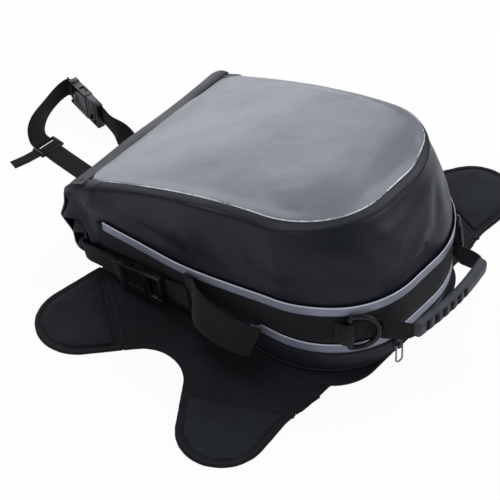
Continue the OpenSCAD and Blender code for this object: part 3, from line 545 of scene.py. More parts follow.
# Woven nylon: ribs across its length at 1.3 mm and a twill line, matt, a little lighter on the
# threads' crowns, with stray fluff. The ribs follow each piece's own length.
def woven_material(name, code, pitch, crown, depth=0.35):
    material, tree = new_material(name)
    spot = node(tree, "TexCoord", output="Object")
    waves = []
    for axis, spacing in (("X", pitch), ("Y", pitch * 0.8)):
        along = node(tree, "SeparateXYZ", {0: node(tree, "UVMap")}, axis)
        angle = node(tree, "Math", {0: along, 1: 2 * math.pi / spacing}, operation="MULTIPLY")
        waves.append(node(tree, "Math", {0: angle}, operation="SINE"))
    checks = node(tree, "Math", {0: waves[0], 1: waves[1]}, operation="MULTIPLY")
    twill = node(tree, "Math", {0: checks, 1: waves[0]}, operation="ADD")
    high = node(tree, "MapRange", {"Value": twill, "From Min": -1.2, "From Max": 1.6})
    ribs = node(tree, "Bump", {"Height": high, "Strength": depth, "Distance": 0.0005})
    hairs = node(tree, "TexNoise", {"Vector": spot, "Scale": 500.0, "Detail": 4.0})
    fluff = node(tree, "Bump", {"Height": hairs, "Strength": 0.25, "Distance": 0.0003, "Normal": ribs})
    smear = node(tree, "TexNoise", {"Vector": spot, "Scale": 30.0, "Detail": 3.0})
    worn = node(tree, "Math", {0: high, 1: smear}, operation="MULTIPLY")
    tint = node(tree, "Mix", {0: worn, 6: colour(code), 7: colour(crown)}, 2, data_type="RGBA")
    shader = node(tree, "BsdfPrincipled", {"Base Color": tint, "Roughness": 0.82, "Normal": fluff,
                                           "Specular IOR Level": 0.2, "Sheen Weight": 0.06,
                                           "Sheen Roughness": 0.5})
    node(tree, "OutputMaterial", {"Surface": shader})
    return material


band_weave = woven_material("woven_nylon_band", "#0e0d0f", 0.0021, "#232224")
webbing_weave = woven_material("nylon_webbing", "#0d0c0e", 0.0017, "#2a292b", 0.5)

# Silver tape: glass beads in a soft binder. It is lavender grey, with a fine sparkle, a satin
# sheen and a paler painted highlight along its upper edge.
silver_tape, tree = new_material("silver_bead_tape")
spot = node(tree, "TexCoord", output="Object")
smear = node(tree, "TexNoise", {"Vector": spot, "Scale": 22.0, "Detail": 5.0})
lavender = node(tree, "Mix", {0: smear, 6: colour("#767686"), 7: colour("#9a9aa8")}, 2,
                data_type="RGBA")
# Painted highlight: the strip is drawn near white along its upper edge.
painted_highlight_mask = node(tree, "Attribute", output="Fac", attribute_name="upper_edge_highlight")
tint = node(tree, "Mix", {0: painted_highlight_mask, 6: lavender, 7: colour("#d9d9e0")}, 2, data_type="RGBA")
beads = node(tree, "TexVoronoi", {"Vector": spot, "Scale": 1400.0})
gloss = node(tree, "MapRange", {"Value": beads, "To Min": 0.34, "To Max": 0.6})
sparkle = node(tree, "Bump", {"Height": beads, "Strength": 0.2, "Distance": 0.0002})
shader = node(tree, "BsdfPrincipled", {"Base Color": tint, "Roughness": gloss, "Normal": sparkle,
                                       "Metallic": 0.35})
node(tree, "OutputMaterial", {"Surface": shader})

UPPER_START, LOWER_START, STRIP = -142, 58, 12


def band_bottom(x):
    """The band is lower on the flanks, where it covers the lower strip's hidden run."""
    return lower_line(x) - 9 * (1 - ease((x - 62) / 16)) + 3


band = ring_tape("woven_band", -152, below(upper_line, 4), band_bottom, 1.4, 1.4, 520, 0.8, 3)
dress(band, band_weave, "bag", ("middle_band",))
for level_word, line, start_x, out, count, seed in (
        ("upper", upper_line, UPPER_START, 2.7, 520, 6),
        ("lower", lower_line, LOWER_START, 1.6, 360, 7)):
    strip = ring_tape(f"{level_word}_silver_strip", start_x, line, below(line, STRIP), out, 0.8,
                      count, 0.5, seed)
    points = vertices(strip)
    # Painted highlight: the strip's upper edge is marked, fading within about 1.7 mm, to be drawn
    # paler.
    depth = line(points[:, 0]) - points[:, 2]
    mark(strip, "upper_edge_highlight", np.clip(1.2 - depth / 1.4, 0, 1))
    dress(strip, silver_tape, "bag", (f"{level_word}_reflective_strip",))


# ---- seams ----
# Polyester thread, lock-stitched. Each stitch is one small rounded grain that sinks at both ends;
# it has a pitch, a length and a thickness. Upright seams join the lengths of the band.
SEAM_STITCH, EDGE_STITCH, FINE_STITCH = (3.0, 2.2, 0.4), (3.4, 2.5, 0.36), (2.6, 1.9, 0.36)
SIDES = ((-1, "near"), (1, "far"))


def mottled_material(name, scale, detail, dark, light, rough, metallic=0.0):
    """A material whose tone wanders between two colours, and its gloss between two levels."""
    material, tree = new_material(name)
    spot = node(tree, "TexCoord", output="Object")
    tone = node(tree, "TexNoise", {"Vector": spot, "Scale": scale, "Detail": detail})
    tint = node(tree, "Mix", {0: tone, 6: colour(dark), 7: colour(light)}, 2, data_type="RGBA")
    gloss = node(tree, "MapRange", {"Value": tone, "To Min": rough[0], "To Max": rough[1]})
    shader = node(tree, "BsdfPrincipled", {"Base Color": tint, "Roughness": gloss,
                                           "Metallic": metallic})
    node(tree, "OutputMaterial", {"Surface": shader})
    return material


# Spun polyester: matt and near black, with paler flecks where its strands catch the light.
thread = mottled_material("polyester_thread", 1500.0, 2.0, "#1d1d20", "#38383c", (0.6, 0.6))

bpy.ops.mesh.primitive_uv_sphere_add(segments=6, ring_count=4, radius=1)
grain = bpy.context.object
grain_points = np.array([v.co for v in grain.data.vertices])
grain_faces = [list(p.vertices) for p in grain.data.polygons]
bpy.data.objects.remove(grain)


def stitch_row(name, path, outward, body_name, stitch):
    """Stitches along a path, which is open, each lying along it."""
    pitch, length, thick = stitch
    path = np.array(path, float)
    outward = np.broadcast_to(np.array(outward, float), path.shape)
    steps = lengths(path)
    s = np.arange(pitch / 2, steps[-1], pitch)
    middle, out = at_lengths(path, steps, s), at_lengths(outward, steps, s)
    way = at_lengths(path, steps, s + 0.5) - at_lengths(path, steps, s - 0.5)
    way /= np.linalg.norm(way, axis=1, keepdims=True)
    side = np.cross(out, way)
    points, faces = [], []
    for k in range(len(s)):
        faces += [[i + k * len(grain_points) for i in face] for face in grain_faces]
        points.append(middle[k] + grain_points @ np.array([way[k] * length / 2, side[k] * thick,
                                                           out[k] * thick * 0.8]))
    mesh = bpy.data.meshes.new(name)
    mesh.from_pydata((np.concatenate(points) / 1000).tolist(), [], faces)
    piece = bpy.data.objects.new(name, mesh)
    bpy.context.collection.objects.link(piece)
    mesh.shade_smooth()
    dress(piece, thread, body_name)


for side, word in SIDES:
    for number, x in enumerate((-6, 78)):
        y = side * (np.interp(x, (-LENGTH / 2, LENGTH / 2 - CORNER),
                              (FRONT_WIDTH / 2, REAR_WIDTH / 2)) + 2.9)
        z = np.linspace(band_bottom(x) + 2, upper_line(x) - STRIP - 2, 12)
        stitch_row(f"{word}_band_seam_{number}", [(x, y, height) for height in z],
                   (0, side, 0), "bag", SEAM_STITCH)


# ---- zips ----
# Two nylon coil zips: the expansion zip on its tape below the lower strip, and the one that holds
# the tub to the base. Each coil's turns show as fine teeth, with three sections to a tooth.
ZIP_DROP = STRIP + 5.3

# Coiled nylon: black, with a waxy gloss that varies.
zip_nylon = mottled_material("zip_coil_nylon", 300.0, 2.0, "#060607", "#141416", (0.5, 0.66))


def coil(name, flat, outward, z, radius, pitch, replaced):
    """A coil of teeth along a line in plan."""
    steps = lengths(flat)
    s = np.arange(0, steps[-1], pitch / 3)
    middle, out = at_lengths(raised(flat, z), steps, s), at_lengths(raised(outward, 0), steps, s)
    swell = radius * (0.72 + 0.28 * (np.arange(len(s)) % 3 != 0))[:, None]
    rows = [middle + swell * (out * math.cos(a) + np.array((0, 0, 1.3 * math.sin(a))))
            for a in np.radians(np.arange(0, 361, 45))]
    piece = grid_piece(name, np.array(rows)[:, ::-1], closed=True)
    bpy.ops.object.shade_smooth_by_angle(angle=math.radians(30))
    dress(piece, zip_nylon, "bag", (replaced,))


zip_tape = ring_tape("expansion_zip_tape", 84, below(lower_line, STRIP - 1),
                     below(lower_line, STRIP + 10), 0.4, 0.7, 360)
# The zip tape takes the tub's lighter finish, the same painted light.
dress(zip_tape, tub_pvc_painted_light, "bag", ("zip_tape",))
flat, outward = round_the_bag(88, 500, 1.2)
coil("expansion_zip_coil", flat, outward, lower_line(flat[:, 0]) - ZIP_DROP, 0.9, 1.5, "zip_coil")
hem = outline((1.8, 8.8, 19))[14:-14]
coil("base_zip_coil", hem, rightwards(hem), 8.6, 1.5, 1.6, "base_zip")


# ---- roll closure ----
# The mouth is two walls of the coated fabric with a stiffener between, rolled down in front of the
# bag. The outer turn hangs in a soft point; the sides are tucked in, so each end shows its folds.
ROLL_HALF = 119.5
turns = np.array([
    (-173, 108.9), (-180, 106.9), (-188, 102.8), (-196, 96.6), (-202.6, 88.6), (-206, 78),
    (-208.6, 66), (-212.6, 54), (-215.6, 45.5), (-216, 41.3), (-212.6, 36.8), (-206.6, 30.4),
    (-202.4, 24.4), (-201.2, 17), (-200, 9.6), (-195.6, 4.4), (-189, 3.2), (-183.6, 5.6),
    (-181.6, 13), (-181.4, 26), (-183, 38)])
cross = loft(turns[:, None, :], 5)[:, 0]
ys = ROLL_HALF * np.sin(np.linspace(-math.pi / 2, math.pi / 2, 90) * 0.999)
depth_in = np.linspace(0, 1, len(cross))
roll = np.zeros((len(cross), len(ys), 3))
roll[..., 0] = cross[:, None, 0]
roll[..., 1] = ys[None, :] * (1 - 0.012 * ease(depth_in * 1.4))[:, None]
roll[..., 2] = cross[:, None, 1]
middle = 1 - (ys / ROLL_HALF) ** 4
loose = ease(depth_in / 0.06)[:, None]
roll[..., 0] += loose * (2.2 * middle * np.exp(-((depth_in[:, None] - 0.2) / 0.07) ** 2)
                         + ripple(roll * (1, 0.5, 1), 30, 1.8, 11))
roll[..., 2] += loose * (ripple(roll * (0.3, 1, 0.3), 70, 2.4, 12) - 0.6 * middle)
roll[0, :, 2] -= 0.8
roll_piece = grid_piece("rolled_mouth", roll)
thicken(roll_piece, 2.4, 0)
dress(roll_piece, welded_pvc, "bag", ("roll_closure", "mouth_stiffener"))

# Fold that runs from the top corner of the mouth down the flank, over the tucked end of the roll.
ridge_z = np.array([15, 22, 35, 48, 63, 79, 86, 92])
ridge_x = np.array([-161, -162, -164, -168, -177, -186.5, -193.5, -201])
front_z = np.array([3, 4.5, 10, 17, 24.5, 30, 36.5, 41, 44.5, 54, 66, 78, 91])
front_x = np.array([-192, -197, -200.5, -201, -202, -206, -212, -216.2, -215.8, -213, -209,
                    -206.5, -201.5])
FLARE_FROM, FLARE_RUN = -114, 46


def wall_out(x, z):
    """How far out the welded wall stands at places and heights."""
    foot, top = upper_line(x), top_line(x)
    rise = top - SHOULDER_DROP - foot
    levels = np.array([0 * x, foot - 1, foot + 0.18 * rise, foot + 0.4 * rise, foot + 0.6 * rise,
                       foot + 0.78 * rise, foot + 0.93 * rise, top - 5.4, top - 2.7, top - 1.1])
    insets = (0, 0.2, 2, 5.9, 11.2, 17, 24, 27.6, 30.4, 34.4)
    half = np.interp(x, (-170, 87), (FRONT_WIDTH / 2, REAR_WIDTH / 2))
    return half - [np.interp(h, levels[:, k], insets) for k, h in enumerate(z)]


def flare(x, y, z, low):
    """Points that leave the welded wall and spread to a fold. Low is their height on the wall."""
    share = ease((FLARE_FROM - x) / FLARE_RUN)
    z = low + (z - low) * share
    foot = wall_out(x, z)
    return np.column_stack([x, foot + (y - foot) * share, z])


def over_front(x):
    """Height of the top sheet, beside the window and on down towards the roll."""
    return np.where(x > -181, top_line(x) - 0.3, np.interp(x, cross[45::-1, 0], cross[45::-1, 1]))


for side, word in SIDES:
    wing = []
    for y, drop, reach, down in ((109, -1.0, -198, 1.3), (114, -0.4, -199.4, 2.7),
                                 (118.5, 0.9, -200.6, 5), (121.8, 2.6, -201.4, 9.5),
                                 (123.4, 6.0, -201.6, 16)):
        x = np.linspace(FLARE_FROM, reach, 36)
        wing.append(flare(x, y, over_front(x) - drop, top_line(x) - down))
    for back_z, fold_z in zip(np.linspace(106, 22, 26), np.linspace(88, 17, 26)):
        fold_x = np.interp(fold_z, ridge_z, ridge_x)
        a = np.linspace(0, 1, 36)
        x = FLARE_FROM + a * (fold_x - FLARE_FROM)
        y = 125.0 - 2.6 * np.sin(np.pi * a) * ease((104 - back_z) / 18) \
            + 1.3 * np.exp(-((a - 1) / 0.1) ** 2)
        z = back_z + a * (fold_z - back_z)
        wing.append(flare(x, y, z, z))
    wing = np.array(wing)
    tip = wing[:, -1]
    inward = [tip + np.array(step) for step in ((-0.5, -1.2, 0), (0.8, -2.8, 0.2), (4, -5, 0.5),
                                                (9, -8, 1.0), (15, -11, 1.5))]
    wing = np.concatenate([wing, np.stack(inward, 1)], 1)
    wing = loft(wing, 3)
    sunk = 4.2 * (1 - ease((FLARE_FROM - wing[..., 0]) / FLARE_RUN))
    wing = wing + normals(wing) * sunk[..., None]
    wing[..., 1] += ripple(wing, 26, 1.2, 13 + side) * 0.8
    tuck = []
    for y, zf, zb in ((114, 88, 86), (118, 80, 77), (117, 64, 70), (120.4, 48, 62),
                      (122.6, 42, 58), (121.6, 41, 57.6), (112, 42.5, 59), (110, 38, 55),
                      (118.6, 29, 46), (121.8, 25.6, 43.4), (120.8, 24.8, 43), (110, 26, 45),
                      (109, 20, 37), (117, 11, 27), (120.6, 6.4, 22), (119.6, 5.2, 21.4),
                      (109, 5.4, 20)):
        c = np.linspace(0, 1, 30)
        x = np.interp(zf, front_z, front_x) + 1.2
        tuck.append(np.column_stack([x + c * (np.interp(zb, ridge_z, ridge_x) + 9 - x),
                                     y - 5 * np.exp(-(c / 0.05) ** 2) - 4 * ease(c),
                                     zf + (zb - zf) * c + 2.2 * np.sin(np.pi * c)]))
    tuck = loft(np.array(tuck), 4)
    tuck[..., 1] += ripple(tuck, 18, 1.0, 15 + side)
    for name, points, facing in ((f"{word}_mouth_wing", wing, -1), (f"{word}_tucked_end", tuck, 1)):
        points = points * (1, side, 1)
        folded = grid_piece(name, points if side == facing else points[:, ::-1])
        thicken(folded, 1.4, -1)
        bpy.ops.object.shade_smooth_by_angle(angle=math.radians(70))
        dress(folded, welded_pvc, "bag")


# ---- base ----
# A flat sheet of coated nylon under the tub, bound at its edge, with a stiff board inside and an
# anti-slip lining beneath. The two side sheets are sewn along its long edges.
FLAP, BASE_LEVEL, BASE_THICK = 3.2, 1.7, 4

# Coated nylon: plain weave drawn at 1.5 mm, matt blue-black, with pale lint in the hollows and
# slow, broad paler patches of painted sheen, standing in for light on soft folds.
def nylon_material(name, code, pale, pitch, rough=0.78):
    material, tree = new_material(name)
    spot = node(tree, "TexCoord", output="Object")
    waves = []
    for axis in "XY":
        along = node(tree, "SeparateXYZ", {0: spot}, axis)
        angle = node(tree, "Math", {0: along, 1: 2 * math.pi / pitch}, operation="MULTIPLY")
        waves.append(node(tree, "Math", {0: angle}, operation="SINE"))
    plain = node(tree, "Math", {0: waves[0], 1: waves[1]}, operation="MULTIPLY")
    weave = node(tree, "Bump", {"Height": plain, "Strength": 0.22, "Distance": 0.0004})
    soft = node(tree, "TexNoise", {"Vector": spot, "Scale": 38.0, "Detail": 3.0})
    crumple = node(tree, "Bump", {"Height": soft, "Strength": 0.5, "Distance": 0.004, "Normal": weave})
    # Painted sheen: broad paler patches stand in for light on soft folds.
    fold = node(tree, "TexNoise", {"Vector": spot, "Scale": 11.0, "Detail": 4.0})
    patches = node(tree, "MapRange", {"Value": fold, "From Min": 0.36, "From Max": 0.64,
                                      "To Max": 0.75})
    lint = node(tree, "TexNoise", {"Vector": spot, "Scale": 420.0, "Detail": 5.0})
    specks = node(tree, "MapRange", {"Value": lint, "From Min": 0.54, "From Max": 0.76,
                                     "To Max": 0.8})
    lint_and_sheen_amount = node(tree, "Math", {0: patches, 1: specks}, operation="ADD")
    tint = node(tree, "Mix", {0: lint_and_sheen_amount, 6: colour(code), 7: colour(pale)}, 2, data_type="RGBA")
    shader = node(tree, "BsdfPrincipled", {"Base Color": tint, "Roughness": rough,
                                           "Normal": crumple, "Specular IOR Level": 0.22,
                                           "Sheen Weight": 0.05, "Sheen Roughness": 0.5})
    node(tree, "OutputMaterial", {"Surface": shader})
    return material


flap_nylon = nylon_material("coated_nylon", "#090a0d", "#191b21", 0.0015)
pocket_nylon = nylon_material("pocket_nylon", "#0d0f12", "#1f2229", 0.0015)
binding_weave = woven_material("grosgrain_binding", "#0e0e0f", 0.0014, "#242325", 0.4)
lining_rubber = nylon_material("anti_slip_lining", "#0c0c0e", "#17171a", 0.003, 0.9)


def base_line(inset):
    """Outline of the base, square at the front and round at the rear."""
    r = 55 - inset
    x, y, f = LENGTH / 2 - 11 - 55, REAR_WIDTH / 2 - 55, -LENGTH / 2 + 18 + inset
    w = FRONT_WIDTH / 2 - 6 - inset
    a = np.radians(np.linspace(-90, 90, 41))
    bend = np.stack([x + r * np.cos(a), np.where(a < 0, -y, y) + r * np.sin(a)], 1)
    return np.concatenate([[(f, -w)], bend, [(f, w)]])


def base_layer(name, inset, low, high, rim, material, replaced):
    """A flat layer of the base, with rolled edges."""
    edge = base_line(inset)
    centre = edge.mean(0)
    closed = np.concatenate([edge, edge[:1]])
    steps = lengths(closed)
    line = at_lengths(closed, steps, np.linspace(0, steps[-1], 241))
    turn, thick = 1 - rim / 60, high - low
    rows = [raised(centre + share * (line - centre), height) for share, height in (
        (0.0, low), (0.5, low), (0.9, low), (turn, low), (1, low + 0.3 * thick),
        (1, low + 0.7 * thick), (turn, high), (0.9, high), (0.7, high), (0.4, high), (0.0, high))]
    piece = grid_piece(name, np.array(rows), closed=True)
    bpy.ops.object.shade_smooth_by_angle(angle=math.radians(40))
    dress(piece, material, "bag", (replaced,))


base_layer("base_cloth", 0, BASE_LEVEL, BASE_LEVEL + BASE_THICK, 1.2, flap_nylon,
           "base_sheet")
base_layer("base_lining", 6, 0.02, 1.6, 0.5, lining_rubber, "base_pad")


# ---- buckles ----
# Side-release buckles moulded in acetal: each socket has a bar for its webbing, open sides and a
# shallow thumb hollow, and each plug has two prongs, a guide tongue and a ladder.
BUCKLE_THICK, BUCKLE_WIDTH, SOCKET_LENGTH = 11, 34, 40
SHELL, SLOT_HALF = 1.8, 13.3
SIDE_BUCKLE = (-95, -133.4, 31)
FRONT_BUCKLE = (-362.4, 60.5, 17.4)
SLOPE, FRONT_TURN = math.radians(-8), math.radians(-16)
SIDE_PLACE = Matrix.Translation(Vector(SIDE_BUCKLE) / 1000) @ Matrix.Rotation(SLOPE, 4, "Y")
FRONT_PLACE = Matrix.Translation(Vector(FRONT_BUCKLE) / 1000) @ Matrix.Rotation(FRONT_TURN, 4, "Z")


# Acetal: near black, satin or glossy, with worn patches and a fine moulded grain.
def acetal_material(name, code, rough, shine):
    material, tree = new_material(name)
    spot = node(tree, "TexCoord", output="Object")
    wear = node(tree, "TexNoise", {"Vector": spot, "Scale": 60.0, "Detail": 4.0})
    light = [c * 1.8 + 0.003 for c in colour(code)[:3]] + [1]
    tint = node(tree, "Mix", {0: wear, 6: colour(code), 7: light}, 2, data_type="RGBA")
    gloss = node(tree, "MapRange", {"Value": wear, "To Min": rough - 0.1, "To Max": rough + 0.14})
    fine = node(tree, "TexNoise", {"Vector": spot, "Scale": 1600.0})
    grain = node(tree, "Bump", {"Height": fine, "Strength": 0.08, "Distance": 0.0002})
    shader = node(tree, "BsdfPrincipled", {"Base Color": tint, "Roughness": gloss, "Normal": grain,
                                           "IOR": 1.48, "Specular IOR Level": shine})
    node(tree, "OutputMaterial", {"Surface": shader})
    return material


acetal = acetal_material("satin_black_acetal", "#0c0c0e", 0.21, 0.55)


def block(low, high):
    """A solid box between two corners."""
    bpy.ops.mesh.primitive_cube_add(size=1)
    made = bpy.context.object
    low, high = Vector(low) / 1000, Vector(high) / 1000
    made.data.transform(Matrix.Translation((low + high) / 2) @ Matrix.Diagonal((*(high - low), 1)))
    return made


def bar_rod(x, half, radius):
    """A round bar that stands along Z."""
    bpy.ops.mesh.primitive_cylinder_add(vertices=24, radius=radius / 1000, depth=2 * half / 1000)
    made = bpy.context.object
    made.data.transform(Matrix.Translation((x / 1000, 0, 0)))
    return made


def combine(piece, tool, how):
    """Cuts the tool out of a piece, or joins it on."""
    bpy.context.view_layer.objects.active = piece
    step = piece.modifiers.new("step", "BOOLEAN")
    step.operation, step.solver, step.object = how, "EXACT", tool
    bpy.ops.object.modifier_apply(modifier=step.name)
    bpy.data.objects.remove(tool)


def soften(piece, width, segments=2):
    """Rounds a moulding's edges."""
    bpy.context.view_layer.objects.active = piece
    bevel = piece.modifiers.new("edges", "BEVEL")
    bevel.width, bevel.segments, bevel.limit_method = width / 1000, segments, "ANGLE"
    bevel.angle_limit = math.radians(35)
    bpy.ops.object.modifier_apply(modifier=bevel.name)
    bpy.ops.object.select_all(action="DESELECT")
    piece.select_set(True)
    bpy.context.view_layer.objects.active = piece
    bpy.ops.object.shade_smooth_by_angle(angle=math.radians(40))


def make_socket():
    half, deep, wide = SOCKET_LENGTH / 2, BUCKLE_THICK / 2, BUCKLE_WIDTH / 2
    socket = block((-half, -deep, -wide), (half, deep, wide))
    for end in (-1, 1):
        cut_in = block((-12, -deep - 1, end * (wide - 1.1)), (-1, deep + 1, end * (wide + 2)))
        combine(socket, cut_in, "DIFFERENCE")
    soften(socket, 2.4, 4)
    combine(socket, block((half - 28, SHELL - deep, SHELL - wide),
                          (half + 1, deep - SHELL, wide - SHELL)), "DIFFERENCE")
    for end in (-1, 1):
        combine(socket, block((half - 19, SHELL + 0.6 - deep, end * wide - 4),
                              (half - 7, deep - SHELL - 0.6, end * wide + 4)), "DIFFERENCE")
    combine(socket, block((-half - 1, -deep - 1, -SLOT_HALF), (8.4 - half, deep + 1, SLOT_HALF)),
            "DIFFERENCE")
    combine(socket, block((-5, -deep - 1, -8.5), (half - 3, 0.6 - deep, 8.5)), "DIFFERENCE")
    combine(socket, bar_rod(2 - half, wide - 1, 1.6), "UNION")
    soften(socket, 0.5)
    return socket


def make_plug():
    start, deep, wide = SOCKET_LENGTH / 2 + 0.3, BUCKLE_THICK / 2 - 0.6, BUCKLE_WIDTH / 2
    plug = block((start, -deep, -wide), (start + 24, deep, wide))
    for end in (-1, 1):
        combine(plug, block((start + 5, end * 4.2 - 1.6, -SLOT_HALF),
                            (start + 21.6, end * 4.2 + 1.6, SLOT_HALF)), "DIFFERENCE")
    soften(plug, 2.6, 4)
    for ahead in (5, 14):
        combine(plug, block((start + ahead, -deep - 1, -SLOT_HALF),
                            (start + ahead + 5.4, deep + 1, SLOT_HALF)), "DIFFERENCE")
    combine(plug, block((start - 20, -3.3, -4), (start + 0.4, 3.3, 4)), "UNION")
    for end in (-1, 1):
        combine(plug, block((start - 22, -3.3, end * 11.6 - 2), (start + 0.4, 3.3, end * 11.6 + 2)),
                "UNION")
        combine(plug, block((start - 18, -3.3, end * 12.6 - 3), (start - 9, 3.3, end * 12.6 + 3)),
                "UNION")
    soften(plug, 0.55)
    return plug


def place_moulding(original, name, matrix, side, body_name, replaced):
    """A copy of a moulding in its place, mirrored for the far side."""
    mesh = original.data.copy()
    piece = bpy.data.objects.new(name, mesh)
    piece.data.name = name
    bpy.context.collection.objects.link(piece)
    mesh.transform(matrix)
    if side > 0:
        mesh.transform(Matrix.Scale(-1, 4, (0, 1, 0)))
        mesh.flip_normals()
    dress(piece, acetal, body_name, (replaced,))


socket, plug = make_socket(), make_plug()
for side, word in SIDES:
    place_moulding(socket, f"{word}_socket", SIDE_PLACE, side, "bag", f"{word}_buckle_socket")
    place_moulding(plug, f"{word}_plug_moulding", SIDE_PLACE, side, f"{word}_plug",
                   f"{word}_buckle_plug")
place_moulding(socket, "steering_head_socket", FRONT_PLACE, -1, "front_strap", "front_buckle_socket")
place_moulding(plug, "steering_head_plug", FRONT_PLACE, -1, "front_plug", "front_buckle_plug")
bpy.data.objects.remove(socket)
bpy.data.objects.remove(plug)


# ---- side straps ----
# Nylon webbing 25 mm wide. On each side one strap curls out of the end of the roll to the socket,
# and one runs from the plug's ladder to the band, where its end is folded and box-stitched. A loose
# length of 34 mm webbing is sewn on behind it.
WEBBING, WIDE_WEBBING = 25, 34


def strap(way, across, steps):
    """Smooth middle line, cross direction and outward direction of a strap along a way."""
    way = np.array(way, float)
    across = np.broadcast_to(np.array(across, float), way.shape)
    middles, across = loft(way, steps), loft(across, steps)
    across /= np.linalg.norm(across, axis=1, keepdims=True)
    outward = np.cross(np.gradient(middles, axis=0), across)
    return middles, across, outward / np.linalg.norm(outward, axis=1, keepdims=True)


def in_place(points, matrix, side=-1):
    """Points moved from a buckle's own axes to the bag's, mirrored for the far side."""
    turn, start = np.array(matrix.to_3x3()), np.array(matrix.translation) * 1000
    return (np.array(points, float) @ turn.T + start) * (1, -side, 1)


def box_stitch(name, corner, along, across, outward, run, width, body_name):
    """A square of stitches with its two diagonals."""
    corner, along, across = (np.array(v, float) for v in (corner, along, across))
    inner = [corner + along * run * a + across * width * b
             for a, b in ((0, 0), (1, 0), (1, 1), (0, 1), (0, 0), (1, 1))]
    lines = [np.linspace(a, b, 8)[:-1] for a, b in zip(inner, inner[1:])]
    stitch_row(name, np.concatenate(lines), outward, body_name, FINE_STITCH)


up_local = np.array(SIDE_PLACE.to_3x3()) @ (0, 0, 1)
along_local = np.array(SIDE_PLACE.to_3x3()) @ (1, 0, 0)
for side, word in SIDES:
    flip = np.array((1, -side, 1))
    roll_way = [(-80, 19, -3), (-84.5, 17, -3), (-86.5, 12.5, -2.5), (-85, 8, -2), (-80, 5.2, -1.2),
                (-72, 4, -0.5), (-60, 3.5, 0), (-44, 3.2, 0), (-26, 3.1, 0), (-20.5, 2.9, 0),
                (-16.2, 2.4, 0), (-14.9, 0, 0), (-16.2, -2.4, 0), (-20, -2.7, 0), (-24, -1.6, 0),
                (-30, 0.7, 0), (-40, 1.1, 0), (-50, 1.3, 0)]
    lean = np.zeros((len(roll_way), 3)) + up_local
    lean[:6, 1] -= np.linspace(0.35, 0, 6)
    lean[:6, 0] += np.linspace(0.3, 0, 6)
    strip = tape(f"{word}_roll_webbing", *strap(in_place(roll_way, SIDE_PLACE, side), lean * flip, 6),
                 WEBBING, 1.6)
    dress(strip, webbing_weave, "bag", (f"{word}_roll_strap",))
    box_stitch(f"{word}_roll_webbing_stitches", in_place([(-47, 0.2, -9)], SIDE_PLACE, side)[0],
               along_local * flip, up_local * flip, (0, side, 0), 14, 18, "bag")

    side_way = [(34.6, -1.2, 0), (36.4, 0.6, 0), (38.2, 3.2, 0), (41.5, 4.2, 0), (46, 4.2, 0),
                (54, 4.9, 0), (62, 5.4, 0), (72.5, 5.6, 0), (75.6, 4.6, 0), (75.0, 3.4, 0),
                (70, 3.6, 0), (60, 3.4, 0)]
    strip = tape(f"{word}_side_webbing", *strap(in_place(side_way, SIDE_PLACE, side),
                                                up_local * flip, 6), WEBBING, 1.5)
    dress(strip, webbing_weave, ("bag", f"{word}_plug"), (f"{word}_side_strap",),
          bend=in_place([(72, 5, 0), (45, 4, 0)], SIDE_PLACE, side) / 1000)
    box_stitch(f"{word}_side_webbing_stitches", in_place([(70.6, 2.7, -9.5)], SIDE_PLACE, side)[0],
               along_local * flip, up_local * flip, (0, side, 0), 3.6, 19, "bag")

    tail_lean = math.radians(33)
    shape = [(-0.05, -0.02), (0, 0), (0.06, 0.08), (0.17, 0.5), (0.35, 0.87), (0.61, 1.0),
             (0.84, 0.91), (1, 0.7)]
    way = [(-19 + 102 * a, -127.4 - 22.8 * b, 57.8 - 2.4 * b - 3.2 * a * a) for a, b in shape]
    leans = [tail_lean * float(ease(a / 0.35)) for a, _ in shape]
    tilt = [(0.1 * a, math.sin(lean), math.cos(lean)) for lean, (a, _) in zip(leans, shape)]
    strip = tape(f"{word}_loose_webbing", *strap(np.array(way) * flip, np.array(tilt) * flip, 10),
                 WIDE_WEBBING, 1.7)
    dress(strip, webbing_weave, "bag", (f"{word}_strap_tail",))


# ---- rings ----
# Moulded D-rings, each held to the band by a ribbed loop of webbing that is sewn down beside it.
RING_ANGLE, RING_LEVEL, RING_OUT, RING_WIRE, RING_HALF = math.radians(-43), 77, 6.8, 3.0, 22
RING_FILLET, RING_WEBBING = 3.2, 29
CORNER_AT = (LENGTH / 2 - CORNER, -(REAR_WIDTH / 2 - CORNER))


def on_corner(points, angle, level, side=-1):
    """Points given outward, along and up from a place on the rear corner."""
    p = np.array(points, float)
    x, y = CORNER + p[:, 0], p[:, 1]
    return np.column_stack([CORNER_AT[0] + x * math.cos(angle) - y * math.sin(angle),
                            CORNER_AT[1] + x * math.sin(angle) + y * math.cos(angle),
                            level + p[:, 2]]) * (1, -side, 1)


def outward_at(angle, side=-1):
    """The direction straight out of the rear corner at an angle."""
    return np.array((math.cos(angle), math.sin(angle), 0)) * (1, -side, 1)


def rod(name, path, radius, upright, sides, flat=1.0):
    """A round bar swept round a closed path. Its section's second axis keeps to the upright."""
    path = np.array(path, float)
    way = np.roll(path, -1, 0) - np.roll(path, 1, 0)
    path, way = np.concatenate([path, path[:1]]), np.concatenate([way, way[:1]])
    way = way / np.linalg.norm(way, axis=1, keepdims=True)
    outward = np.cross(way, np.array(upright, float))
    outward /= np.linalg.norm(outward, axis=1, keepdims=True)
    standing = np.cross(outward, way)
    rows = [path + radius * (math.cos(a) * outward + math.sin(a) * standing * flat)
            for a in np.linspace(0, 2 * math.pi, sides + 1)]
    piece = grid_piece(name, np.array(rows), closed=True)
    close_up(piece)
    return piece


